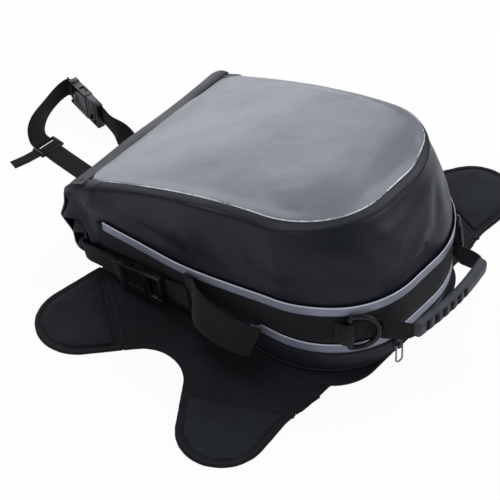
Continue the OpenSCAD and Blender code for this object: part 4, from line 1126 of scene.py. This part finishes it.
glossy_acetal = acetal_material("glossy_black_acetal", "#050506", 0.15, 0.3)
straight_side = [(0, z) for z in np.linspace(RING_FILLET - RING_HALF, RING_HALF - RING_FILLET, 16)]
rounded_corner = [(RING_FILLET * (1 - math.cos(a)), RING_HALF - RING_FILLET * (1 - math.sin(a)))
                  for a in np.radians([15, 35, 55, 75])] + [(4, RING_HALF), (6, RING_HALF)]
bow = [(8 + RING_HALF * math.cos(a), RING_HALF * math.sin(a))
       for a in np.radians(np.linspace(90, -90, 33))]
ring_outline = straight_side + rounded_corner + bow + [(y, -z) for y, z in rounded_corner[::-1]]
for side, word in SIDES:
    path = [(RING_OUT, y, z) for y, z in ring_outline]
    facing = outward_at(RING_ANGLE, side)
    ring_piece = rod(f"{word}_ring", on_corner(path, RING_ANGLE, RING_LEVEL, side), RING_WIRE,
                     facing, 18, flat=0.82)
    dress(ring_piece, glossy_acetal, f"{word}_d_ring", (f"{word}_d_ring",))

    inner, turn_r = RING_OUT - 3.6, 3.6
    way = [(inner - 1.6, -15, 0), (inner - 0.9, -12, 0), (inner - 0.4, -8, 0), (inner - 0.1, -4.5, 0)]
    way += [(RING_OUT + turn_r * math.cos(a), turn_r * math.sin(a), 0)
            for a in np.radians(np.linspace(180, 0, 13))]
    way += [(RING_OUT + 3.5, -3.5, 0), (inner + 6.2, -6.5, 0), (inner + 3.6, -9.6, 0),
            (inner + 1.2, -12.4, 0), (inner - 0.2, -15, 0)]
    middles, across, outward = strap(on_corner(way, RING_ANGLE, RING_LEVEL, side), (0, 0, 1), 4)
    loop_piece = tape(f"{word}_ring_webbing", middles, across, outward, RING_WEBBING, 1.7)
    dress(loop_piece, webbing_weave, "bag", (f"{word}_ring_loop",))
    for number, (back, out) in enumerate(((-7.6, 6.4), (-13.0, 1.7))):
        line = [(inner + out, back, z) for z in np.linspace(-12.5, 12.5, 17)]
        stitch_row(f"{word}_ring_seam_{number}", on_corner(line, RING_ANGLE, RING_LEVEL, side),
                   facing, "bag", FINE_STITCH)


# ---- carry handle ----
# Two webbings leave the band under the D-rings and bend out to a moulded rubber grip, which has a
# smooth back and deep finger slots on its outer side. They bend where the handle lifts.
HINGE, LIFT, GRIP_TWIST = (187.5, 0, 77), math.radians(20), math.radians(24)
GRIP_LENGTH, GRIP_THICK, GRIP_HEIGHT, GRIP_REACH, GRIP_END = 116, 11.5, 19.5, 40, 33


def lifted(points):
    """Points of the level handle, lifted about its hinge line."""
    p = np.array(points, float)
    return np.column_stack([HINGE[0] + p[:, 0] * math.cos(LIFT) - p[:, 2] * math.sin(LIFT),
                            p[:, 1], HINGE[2] + p[:, 0] * math.sin(LIFT) + p[:, 2] * math.cos(LIFT)])


# Grip rubber: matt dark grey with a dusty bloom on its raised parts, and near black painted shade in
# its finger slots.
grip_rubber, tree = new_material("grip_rubber")
spot = node(tree, "TexCoord", output="Object")
bloom = node(tree, "TexNoise", {"Vector": spot, "Scale": 70.0, "Detail": 5.0})
dusty = node(tree, "Mix", {0: bloom, 6: colour("#212327"), 7: colour("#404248")}, 2,
             data_type="RGBA")
# Painted shade: the finger slots are drawn near black, by the amount marked in them.
hollow = node(tree, "Attribute", output="Fac", attribute_name="slot")
tint = node(tree, "Mix", {0: hollow, 6: dusty, 7: colour("#060607")}, 2, data_type="RGBA")
fine = node(tree, "TexNoise", {"Vector": spot, "Scale": 1500.0})
skin_grain = node(tree, "Bump", {"Height": fine, "Strength": 0.2, "Distance": 0.0003})
shader = node(tree, "BsdfPrincipled", {"Base Color": tint, "Roughness": 0.56, "Normal": skin_grain,
                                       "Specular IOR Level": 0.4})
node(tree, "OutputMaterial", {"Surface": shader})

SLOTS, SLOT_FROM, SLOT_TO, SLOT_DEEP = 6, 0.06, 0.64, 5.0
along = np.concatenate([[0, 0, 0.004, 0.014, 0.03], np.linspace(0.04, 0.96, 230),
                        [0.97, 0.986, 0.996, 1, 1]])
cap = np.array([0, 0.72, 0.86, 0.96, 1] + [1.0] * 230 + [1, 0.96, 0.86, 0.72, 0])
bend = GRIP_END + (GRIP_REACH - GRIP_END) * np.sin(np.pi * along)
phase = (along - SLOT_FROM) / (SLOT_TO - SLOT_FROM) * SLOTS
slot_depth = ease((0.31 - np.abs((phase % 1) - 0.5)) / 0.09) * ((phase > 0) & (phase < SLOTS))
rows, hollows = [], []
for a in np.radians(np.arange(0, 361, 7.5)):
    across_out = math.copysign(abs(math.cos(a)) ** 0.62, math.cos(a))
    height = math.copysign(abs(math.sin(a)) ** 0.55, math.sin(a))
    outer = ease((math.cos(a) + 0.12) / 0.3) * ease((0.86 - height) / 0.08) * ease((height + 0.9) / 0.1)
    half = GRIP_THICK / 2 * cap - slot_depth * SLOT_DEEP * outer
    out = np.where(across_out > 0, half, GRIP_THICK / 2 * cap) * across_out
    rise = GRIP_HEIGHT / 2 * cap * height * (1 - 0.1 * np.sin(np.pi * along))
    rows.append(lifted(np.column_stack([
        bend + out * math.cos(GRIP_TWIST) + rise * math.sin(GRIP_TWIST), GRIP_LENGTH * (along - 0.5),
        rise * math.cos(GRIP_TWIST) - out * math.sin(GRIP_TWIST)])))
    # How deep each point lies in a slot, which sets the painted shade there.
    hollows.append(slot_depth * outer)
grip = grid_piece("rubber_grip", np.array(rows), closed=True)
close_up(grip)
bpy.ops.object.shade_smooth_by_angle(angle=math.radians(42))
drawn = searchable(np.array(rows).reshape(-1, 3))
slot_shade_depths = np.array(hollows).ravel()
mark(grip, "slot", [slot_shade_depths[drawn.find(point)[1]] for point in vertices(grip)])
dress(grip, grip_rubber, "carry_handle", ("handle_grip",))

for side, word in SIDES:
    way = [on_corner([(3.0, 0, 0)], math.radians(a), RING_LEVEL)[0] for a in (-46, -42, -38, -34, -31)]
    way += list(lifted([(-4, -67, 0), (4, -64.5, 0), (13, -62.6, 0), (22, -61.4, 0), (30, -58.4, 0),
                        (34, -51, 0)]))
    lean = [(0, 0, 1)] * 5 + [(-math.sin(LIFT * t), 0, math.cos(LIFT * t))
                              for t in (0.35, 0.8, 0.9, 0.6, 0.2, 0)]
    middles, across, outward = strap(np.array(way) * (1, -side, 1), np.array(lean), 8)
    width = np.interp(np.arange(len(middles)), (0, 58, 68, 80), (25, 25, 20, 15))
    webbing = tape(f"{word}_carry_webbing", middles, across, outward, width, 1.8)
    dress(webbing, webbing_weave, ("bag", "carry_handle"),
          (f"{word}_handle_anchor", f"{word}_handle_webbing"),
          bend=((0.181, 0, 0.077), (0.199, 0, 0.071)))


# ---- zip slider ----
# The slider is cast zinc, painted black, and runs on the expansion zip's coil. Its puller is a loop
# of bare wire, dulled, which hangs through the slider's lug.
SLIDER_ANGLE, SLIDER_LEVEL = math.radians(-14), 38.7

# Bare zinc: a dull mid grey, brighter where it has rubbed.
dull_zinc = mottled_material("dull_zinc", 250.0, 4.0, "#77777b", "#b4b4b8", (0.22, 0.45), 1.0)

slider_place = (Matrix.Translation((CORNER_AT[0] / 1000, CORNER_AT[1] / 1000, SLIDER_LEVEL / 1000))
                @ Matrix.Rotation(SLIDER_ANGLE, 4, "Z") @ Matrix.Translation((CORNER / 1000, 0, 0)))
slider = block((3.9, -5, -4), (7.3, 5, 4))
soften(slider, 1.1, 3)
lug = block((7.0, -2.4, -2.5), (12.2, 2.4, 2.5))
lug_hole = bar_rod(0, 4, 1.25)
lug_hole.data.transform(Matrix.Translation((0.0099, 0, 0)) @ Matrix.Rotation(math.pi / 2, 4, "X"))
combine(lug, lug_hole, "DIFFERENCE")
combine(slider, lug, "UNION")
soften(slider, 0.35)
slider.name = slider.data.name = "cast_slider"
slider.data.transform(slider_place)
dress(slider, acetal, "slider", ("zip_slider",))

PULL_OUT, PULL_HALF, PULL_LENGTH = 9.9, 4.0, 20
loop_way = [(0, y) for y in np.linspace(-PULL_HALF, PULL_HALF, 7)]
loop_way += [(-z, PULL_HALF) for z in np.linspace(1.5, PULL_LENGTH, 8)]
loop_way += [(-PULL_LENGTH - PULL_HALF * math.sin(a), PULL_HALF * math.cos(a))
             for a in np.radians(np.linspace(15, 165, 11))]
loop_way += [(-z, -PULL_HALF) for z in np.linspace(PULL_LENGTH, 1.5, 8)]
path = on_corner([(PULL_OUT, y, z) for z, y in loop_way], SLIDER_ANGLE, SLIDER_LEVEL)
puller = rod("wire_puller", path, 0.95, outward_at(SLIDER_ANGLE), 12)
dress(puller, dull_zinc, "puller", ("zip_puller",))


# ---- skirts and flaps ----
# One sheet of padded coated nylon on each side, cut in two lobes. It folds along the base and along
# a crease at the root of each lobe, where the padding stops. Its free edge is bound with tape.
FOLD_Y = FRONT_WIDTH / 2 + 1
FRONT_TIP, FRONT_TIP_R, REAR_TIP, REAR_TIP_R = (-117, -196), 50, (101, -218), 48
VALLEY, VALLEY_R = (-9, -225), 48
FRONT_FOLD, REAR_FOLD = ((-154, -125), -36.5), ((147, -157), 23)
FOLD_GAP, SHEET_INSET, STITCH_IN, STITCH_UP = 1.9, 0.6, 3.0, 3.45


def arc(centre, radius, start, end, count):
    a = np.radians(np.linspace(start, end, count))
    return np.array(centre) + radius * np.stack([np.cos(a), np.sin(a)], 1)


def even(path, step):
    """A path in plan resampled to even steps."""
    path = np.array(path, float)
    steps = lengths(path)
    return at_lengths(path, steps, np.linspace(0, steps[-1], int(round(steps[-1] / step)) + 1))


def soften_path(path, turns):
    """Rounds a path's corners a little."""
    for _ in range(turns):
        path[1:-1] = path[1:-1] * 0.5 + (path[2:] + path[:-2]) * 0.25
    return path


side_edge = soften_path(even(np.concatenate([
    [(-154, -125), (-156, -127)], arc(FRONT_TIP, FRONT_TIP_R, 172, 316, 40),
    arc(VALLEY, VALLEY_R, 128, 42, 24), arc(REAR_TIP, REAR_TIP_R, 215, 366, 40),
    [(145, -171), (148, -145), (151, -125)]]), 2.0), 6)


def past(points, fold):
    """Distance of points beyond a fold line, outwards from the bag."""
    (x, y), turn = fold
    a = math.radians(turn)
    return (points[..., 0] - x) * math.sin(a) - (points[..., 1] - y) * math.cos(a)


x, y = side_edge.T
front_free = side_edge[(x < -20) & (past(side_edge, FRONT_FOLD) > 0)]
rear_free = side_edge[(x > 20) & (y < -157) & (past(side_edge, REAR_FOLD) > 0)]
middle_free = side_edge[(past(side_edge, FRONT_FOLD) <= 0) & (past(side_edge, REAR_FOLD) <= 0)
                        & (y < -160)]
corner_free = side_edge[(x > 20) & (y > -157.5)]


def from_folds(flat):
    """How far points in plan lie from the nearer of the two creases."""
    return np.minimum(np.abs(past(flat, FRONT_FOLD)), np.abs(past(flat, REAR_FOLD)))


def wrinkle(flat, seed, depth):
    """Height that the sheet's padding and slack add at points in plan, none beside a fold."""
    points = raised(flat, 0)
    clear = np.minimum(from_folds(flat), np.abs(flat[..., 1] + FOLD_Y))
    return ease((clear - 4) / 14) * (ripple(points, 48, depth, seed)
                                     + ripple(points, 19, depth / 2, seed + 1) + 0.2)


def sheet_piece(name, flat, seed, body_name, side, replaced, depth=1.5):
    """A padded sheet over a grid in plan: rolled at its rim, lying on the ground."""
    rows, cols = flat.shape[:2]
    i, j = np.arange(rows)[:, None], np.arange(cols)[None]
    step = np.minimum(np.minimum(i, rows - 1 - i), np.minimum(j, cols - 1 - j))
    rim = np.clip(step / np.where(from_folds(flat) < 9, 1, 4), 0, 1)
    rolled = 1.1 * (1 - np.sqrt(1 - (1 - rim) ** 2))
    top = FLAP - 0.3 - rolled + wrinkle(flat, seed, depth) * rim
    upper = raised(flat, np.minimum(top, FLAP + 0.55 * depth))
    lower = raised(flat, 0.05 + rolled)
    pieces = []
    for part, points in (("top", upper), ("bottom", lower[:, ::-1])):
        points = points * (1, -side, 1)
        pieces.append(grid_piece(part, points if side > 0 else points[:, ::-1]))
    bpy.ops.object.select_all(action="DESELECT")
    for piece in pieces:
        piece.select_set(True)
    bpy.context.view_layer.objects.active = pieces[0]
    bpy.ops.object.join()
    piece = bpy.context.object
    piece.name = piece.data.name = name
    close_up(piece, bpy.ops.mesh.bridge_edge_loops)
    bpy.ops.object.shade_smooth_by_angle(angle=math.radians(60))
    dress(piece, flap_nylon, body_name, replaced)


def crease_way(fold):
    """A place on a crease, the direction along it, and the direction across it, away from the bag."""
    place, turn = fold
    a = math.radians(turn)
    return np.array(place), np.array((math.cos(a), math.sin(a))), np.array((math.sin(a), -math.cos(a)))


def lobe_grid(free, fold, inset, from_fold):
    """Grid over a lobe, from its fold to its free edge."""
    place, ahead, away = crease_way(fold)
    start = place + away * from_fold
    inner = free - inset * rightwards(free)
    inner = inner[past(inner, fold) > from_fold + 1]
    low, high = (inner[0] - start) @ ahead, (inner[-1] - start) @ ahead
    t = np.linspace(0, 1, len(inner))[:, None]
    root = start + (low + (high - low) * t) * ahead
    return root + (inner - root) * np.linspace(0, 1, 40)[:, None, None]


def binding(name, edge, body_name, side):
    """Tape folded over the free edge."""
    section = [(-4.2, 2.9), (-4.0, 3.3), (-2, 3.5), (-0.3, 3.2), (0.35, 2.3), (0.35, 1.1),
               (-0.2, 0.3), (-2, 0.04), (-4.2, 0.04), (-4.2, 2.9)]
    waver = ripple(raised(edge, 0), 9, 0.3, 3)[:, None]
    rows = [raised(edge + rightwards(edge) * (reach + waver), height) * (1, -side, 1)
            for reach, height in section]
    piece = grid_piece(name, np.array(rows), closed=True)
    close_up(piece, bpy.ops.mesh.edge_face_add)
    dress(piece, binding_weave, body_name)


def stitches_inside(name, edge, inset, height, body_name, side):
    """A row of stitches a little inside an edge."""
    line = raised(edge - inset * rightwards(edge), height) * (1, -side, 1)
    stitch_row(name, line, (0, 0, 1), body_name, EDGE_STITCH)


# A fold strip is unpadded and thinner than the sheets beside it, and dips along its fold.
def fold_strip(name, start, end, half, low, high, bodies, hinge, side):
    """A thin strip of sheet along a fold. The hinge is how far the fold lies across the strip."""
    start, end = np.array(start, float), np.array(end, float)
    ahead = (end - start) / np.linalg.norm(end - start)
    across = np.array([ahead[1], -ahead[0]])
    t = np.linspace(0, 1, 90)[None, :, None]
    s = np.linspace(-half, half, 17)[:, None, None]
    flat = start + (end - start) * t + across * s
    s = s[..., 0]
    dip = 0.8 * np.exp(-((s - hinge) / 1.5) ** 2)
    wave = ripple(raised(flat, 0), 22, 0.3, 9) * (1 - np.abs(s) / half)
    points = raised(flat, high - dip + wave) * (1, -side, 1)
    piece = grid_piece(name, points)
    thicken(piece, high - low, -1 if np.mean(normals(points)[..., 2]) > 0 else 1)
    middle = (start + end) / 2 + across * hinge
    ends = [raised((middle + k * 3.4 * across) * (1, -side), 1.6) / 1000 for k in (-1, 1)]
    dress(piece, flap_nylon, bodies, bend=ends)


def crossing(corner, fold, inset):
    """Where a lobe's free edge meets its fold, a little along the fold from its corner."""
    place, ahead, _ = crease_way(fold)
    return place + ((corner - place) @ ahead + inset) * ahead


front_end, rear_end = crossing(front_free[-1], FRONT_FOLD, -1), crossing(rear_free[0], REAR_FOLD, 1)
skirt_x = np.linspace(-151, 149.5, 200)
line = np.concatenate([[(-154, -125), front_end], middle_free, [rear_end, (147, -157), (149.6, -140)]])
skirt_low = np.interp(skirt_x, *line.T)
for fold in (FRONT_FOLD, REAR_FOLD):
    slope = 1 / math.cos(math.radians(fold[1]))
    short = np.clip(past(np.stack([skirt_x, skirt_low], 1), fold) + FOLD_GAP, 0, FOLD_GAP)
    skirt_low += short * slope
skirt_low = np.minimum(skirt_low, -FOLD_Y - 3.5)
share = np.linspace(0, 1, 46)[:, None]
skirt_flat = np.stack([np.broadcast_to(skirt_x, (46, 200)),
                       (-FOLD_Y - FOLD_GAP) + (skirt_low + FOLD_Y + FOLD_GAP) * share], -1)

for side, word in SIDES:
    skirt_body = f"{word}_skirt"
    sheet_piece(f"{word}_skirt_sheet", skirt_flat, 21, skirt_body, side, (skirt_body,), 3.0)
    binding(f"{word}_skirt_binding", middle_free, skirt_body, side)
    binding(f"{word}_corner_binding", corner_free, skirt_body, side)
    stitches_inside(f"{word}_skirt_binding_stitches", middle_free, STITCH_IN, STITCH_UP,
                    skirt_body, side)
    for lobe, free, fold, seed in (("front", front_free, FRONT_FOLD, 25),
                                   ("rear", rear_free, REAR_FOLD, 28)):
        body_name = f"{word}_{lobe}_flap"
        sheet_piece(f"{word}_{lobe}_sheet", lobe_grid(free, fold, SHEET_INSET, FOLD_GAP), seed,
                    body_name, side, (body_name,))
        binding(f"{word}_{lobe}_binding", free, body_name, side)
        stitches_inside(f"{word}_{lobe}_binding_stitches", free, STITCH_IN, STITCH_UP,
                        body_name, side)
    fold_strip(f"{word}_base_fold", (150.2, -116.5), (-152.5, -116.5), 13.4, 1.8, 3.3,
               ("bag", skirt_body), 9.2, side)
    fold_strip(f"{word}_front_fold", front_end, (-153, -125.7), 6, 0.9, 3.05,
               (skirt_body, f"{word}_front_flap"), 0, side)
    fold_strip(f"{word}_rear_fold", (145.4, -157.7), rear_end, 6, 0.9, 3.05,
               (skirt_body, f"{word}_rear_flap"), 0, side)


# ---- magnet pockets ----
# A panel of rubberised fabric is sewn over each lobe with a magnet beneath. Its padding swells a
# little between the seam and the magnet, by a cloth simulation of a low pressure.
POCKET_MARGIN, POCKET_FROM_FOLD, POCKET_RISE, MAGNET = 8.5, 7, 3.6, (54, 34)
# For the simulation, in metres: the new mesh's pitch, the height of the held seam, the furthest
# that a point may move, and the lowest and highest that it may lie.
VOXEL, HELD_SEAM, MOST_MOVE, POCKET_LOW, POCKET_HIGH = 0.0021, 0.0012, 0.0014, 0.0031, 0.0081
SWELL_FRAMES = 20


def magnet_rise(flat, tip, turn):
    """1 over the magnet, and less beside it."""
    a = math.radians(turn)
    p = flat - np.array(tip)
    u = np.abs(p[..., 0] * math.cos(a) + p[..., 1] * math.sin(a)) - MAGNET[0] / 2
    v = np.abs(-p[..., 0] * math.sin(a) + p[..., 1] * math.cos(a)) - MAGNET[1] / 2
    gap = np.hypot(np.maximum(u, 0), np.maximum(v, 0))
    return 1 - 0.55 * ease(gap / 15)


def swell_pocket(piece):
    """Remeshes a pocket and blows it up a little, with its seam held."""
    before = np.array([v.co for v in piece.data.vertices])
    rim_z = before[:, 2].min() + HELD_SEAM
    piece.data.remesh_voxel_size = VOXEL
    bpy.context.view_layer.objects.active = piece
    bpy.ops.object.voxel_remesh()
    start = np.array([v.co for v in piece.data.vertices])
    held = piece.vertex_groups.new(name="seam")
    held.add([int(i) for i in np.flatnonzero(start[:, 2] < rim_z)], 1.0, "REPLACE")
    cloth = piece.modifiers.new("cloth", "CLOTH")
    cloth.settings.vertex_group_mass = "seam"
    cloth.settings.use_pressure = True
    cloth.settings.uniform_pressure_force = 3.0
    cloth.settings.effector_weights.gravity = 0
    cloth.settings.quality = 5
    cloth.point_cache.frame_start, cloth.point_cache.frame_end = 1, SWELL_FRAMES
    for frame_number in range(1, SWELL_FRAMES + 1):
        bpy.context.scene.frame_set(frame_number)
    shown = piece.evaluated_get(bpy.context.evaluated_depsgraph_get())
    moved = np.array([v.co for v in shown.data.vertices]) - start
    piece.modifiers.remove(cloth)
    bpy.context.scene.frame_set(1)
    reach = np.linalg.norm(moved, axis=1, keepdims=True)
    moved *= np.minimum(1, MOST_MOVE / np.maximum(reach, 1e-9))
    settled = start + moved
    settled[:, 2] = np.clip(settled[:, 2], POCKET_LOW, POCKET_HIGH)
    piece.data.vertices.foreach_set("co", settled.ravel().astype(np.float32))
    piece.data.update()


for lobe, free, fold, tip in (("front", front_free, FRONT_FOLD, FRONT_TIP),
                              ("rear", rear_free, REAR_FOLD, REAR_TIP)):
    flat = lobe_grid(free, fold, POCKET_MARGIN, POCKET_FROM_FOLD)
    rows, cols = flat.shape[:2]
    i, j = np.arange(rows)[:, None], np.arange(cols)[None]
    edge_gap = np.minimum(np.minimum(i, rows - 1 - i) * 1.7, np.minimum(j, cols - 1 - j) * 1.6)
    rise = np.sqrt(np.clip(1 - (1 - np.clip(edge_gap / 13, 0, 1)) ** 2, 0, 1))
    p = raised(flat, 0)
    top = 3.9 + (POCKET_RISE - 0.6) * rise * magnet_rise(flat, tip, fold[1]) \
        + (ripple(p, 34, 0.8, 31) + ripple(p, 14, 0.3, 32)) * rise
    points = np.concatenate([raised(flat, top), raised(flat, 3.1)[::-1]], 0)
    pocket = grid_piece(f"near_{lobe}_pocket_panel", points, closed=True)
    close_up(pocket, bpy.ops.mesh.bridge_edge_loops)
    swell_pocket(pocket)
    bpy.ops.object.shade_smooth_by_angle(angle=math.radians(65))
    twin = pocket.copy()
    twin.data = pocket.data.copy()
    bpy.context.collection.objects.link(twin)
    twin.name = twin.data.name = f"far_{lobe}_pocket_panel"
    twin.data.transform(Matrix.Scale(-1, 4, (0, 1, 0)))
    twin.data.flip_normals()
    for side, word, panel in ((-1, "near", pocket), (1, "far", twin)):
        body_name = f"{word}_{lobe}_flap"
        dress(panel, pocket_nylon, body_name,
              (f"{word}_{lobe}_pocket", f"{word}_{lobe}_magnet"))
        stitches_inside(f"{word}_{lobe}_pocket_stitches", flat[-1], 2.4, 4.35, body_name, side)


# ---- steering-head strap ----
# Webbing sewn under the front of the base lies on the ground in front of the roll. Its near branch
# goes through a three-bar adjuster, turns on to its edge and comes back to a buckle on the far one.
STRAP_LIFT, FOLD_X, ROOT_Y = 0.4, -226.2, (-27, 45)
ADJUSTER, ADJUSTER_TURN, LOOP_START = (-344.8, -18), math.radians(-5), (-355.4, -16.5)
LOOP_DEPTH, LOOP_SWEEP, LOOSE_END = 36.5, 83, 29


def ground_strap(name, stations, body, replaced=(), bend=None, width=WEBBING, thickness=1.6):
    """Webbing along stations of x, y, tilt and extra height. A tilt of 90 stands on edge."""
    stations = loft(np.array(stations, float), 7)
    flat, tilt, lift = stations[:, :2], np.radians(stations[:, 2]), stations[:, 3]
    left = -rightwards(flat)
    across = raised(left * np.cos(tilt)[:, None], np.sin(tilt))
    outward = raised(-left * np.sin(tilt)[:, None], np.cos(tilt))
    height = STRAP_LIFT + WEBBING / 2 * np.abs(np.sin(tilt)) + 0.9 * np.cos(tilt) + lift
    piece = tape(name, raised(flat, height), across, outward, width, thickness)
    dress(piece, webbing_weave, body, replaced, bend)


for word, y in zip(("near", "far"), ROOT_Y):
    ground_strap(f"{word}_strap_end", [(-222, y, 0, 0), (-212, y, 0, 0.1), (-196, y, 0, 0),
                                       (-180, y, 0, 0), (-168, y, 0, 0)], "bag",
                 (f"{word}_strap_root",))
    ground_strap(f"{word}_strap_bend", [(-220.5, y, 0, 0.05), (-224, y, 0, 0.1),
                                        (-228, y, 0, 0.1), (-231.5, y, 0, 0.05)],
                 ("bag", "front_strap"), bend=[((FOLD_X + k) / 1000, y / 1000, 0.0013)
                                               for k in (3, -3)],
                 width=WEBBING - 0.3, thickness=1.7)

ground_strap("near_branch", [(-229.5, -27, 0, 0), (-250, -26.2, 0, 0.4), (-272, -24.6, 0, 0.1),
                             (-300, -22.4, 0, 0.5), (-325, -20, 0, 0.3), (-336, -19, 0, 1.4),
                             (-342, -18.4, 0, 3.1), (-347, -18, 0, 2.6)], "front_strap",
             ("front_strap_near",))
loop_shape = [(-0.1, 0, 0, 1.6), (0, 0, 0, 0.4), (0.16, 0.01, 8, 0), (0.36, 0.06, 30, 0),
              (0.54, 0.16, 55, 0), (0.7, 0.3, 74, 0), (0.84, 0.46, 86, 0.5), (0.94, 0.63, 90, 2),
              (1, 0.79, 90, 3.2), (1, 0.9, 90, 4.1), (0.96, 0.98, 90, 4.5)]
stations = [(LOOP_START[0] - a * LOOP_DEPTH, LOOP_START[1] + b * LOOP_SWEEP, tilt, lift)
            for a, b, tilt, lift in loop_shape]
wrap = in_place([(-22.5, 2.4, 0), (-19, 2.7, 0), (-16.2, 2.0, 0), (-15.0, 0, 0), (-16.4, -2.2, 0),
                 (-21, -2.6, 0), (-26, -1.6, 0), (-31, -1.0, 0)], FRONT_PLACE)
stations += [(x, y, 90, 4.5) for x, y, _ in wrap]
ground_strap("strap_loop", stations, "front_strap", ("front_strap_loop",))

start = in_place([(46, 4.2, 0)], FRONT_PLACE)[0]
run = (-227.4 - start[0], 45 - start[1])
stations = [(x, y, 90, 4.5) for x, y, _ in in_place([(33.8, -1.6, 0), (36, 0.4, 0), (38.2, 3.4, 0),
                                                     (41.6, 4.2, 0)], FRONT_PLACE)]
stations += [(start[0] + a * run[0], start[1] + b * run[1], tilt, lift)
             for a, b, tilt, lift in ((0, 0, 90, 4.5), (0.14, 0.45, 90, 2.2), (0.25, 0.68, 80, 0.9),
                                      (0.36, 0.84, 55, 0), (0.46, 0.93, 25, 0), (0.56, 0.97, 2, 0),
                                      (0.75, 0.99, 0, 0.3), (0.99, 1, 0, 0))]
ground_strap("far_branch", stations, ("front_strap", "front_plug"), ("front_strap_far",),
             bend=in_place([(70, 5, 0), (46, 4, 0)], FRONT_PLACE) / 1000)

tail_from = (ADJUSTER[0] - 3, ADJUSTER[1] - 19)
ground_strap("strap_loose_end", [(tail_from[0] + 1.5, tail_from[1] + 10, 0, 0.5),
                                 (tail_from[0], tail_from[1], 0, 0.8),
                                 (tail_from[0] - 3, tail_from[1] - 0.45 * LOOSE_END, 0, 0.3),
                                 (tail_from[0] - 8, tail_from[1] - LOOSE_END, 0, 0)],
             "front_strap", ("front_strap_tail",), width=0.56 * WEBBING)

adjuster = block((-10, -17, 0), (10, 17, 4))
soften(adjuster, 1.9, 4)
for x in (-7.4, 2):
    combine(adjuster, block((x, -13.3, -1), (x + 5.4, 13.3, 5)), "DIFFERENCE")
combine(adjuster, block((-8.2, -13.2, 2.6), (8.2, 13.2, 5)), "DIFFERENCE")
soften(adjuster, 0.45)
adjuster.name = adjuster.data.name = "ladder_adjuster"
adjuster.data.transform(Matrix.Translation((ADJUSTER[0] / 1000, ADJUSTER[1] / 1000, STRAP_LIFT / 1000))
                        @ Matrix.Rotation(ADJUSTER_TURN, 4, "Z"))
dress(adjuster, glossy_acetal, "front_strap", ("front_adjuster",))


# ---- hidden board ----
# The stiff plastic board that keeps the tub's floor flat lies inside, where nothing shows it. It
# keeps its own solid, with a dark, matt finish.
board = mottled_material("stiff_board", 300.0, 4.0, "#141417", "#1f1f23", (0.7, 0.7))
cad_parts["base_board"].data.materials.clear()
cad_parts["base_board"].data.materials.append(board)
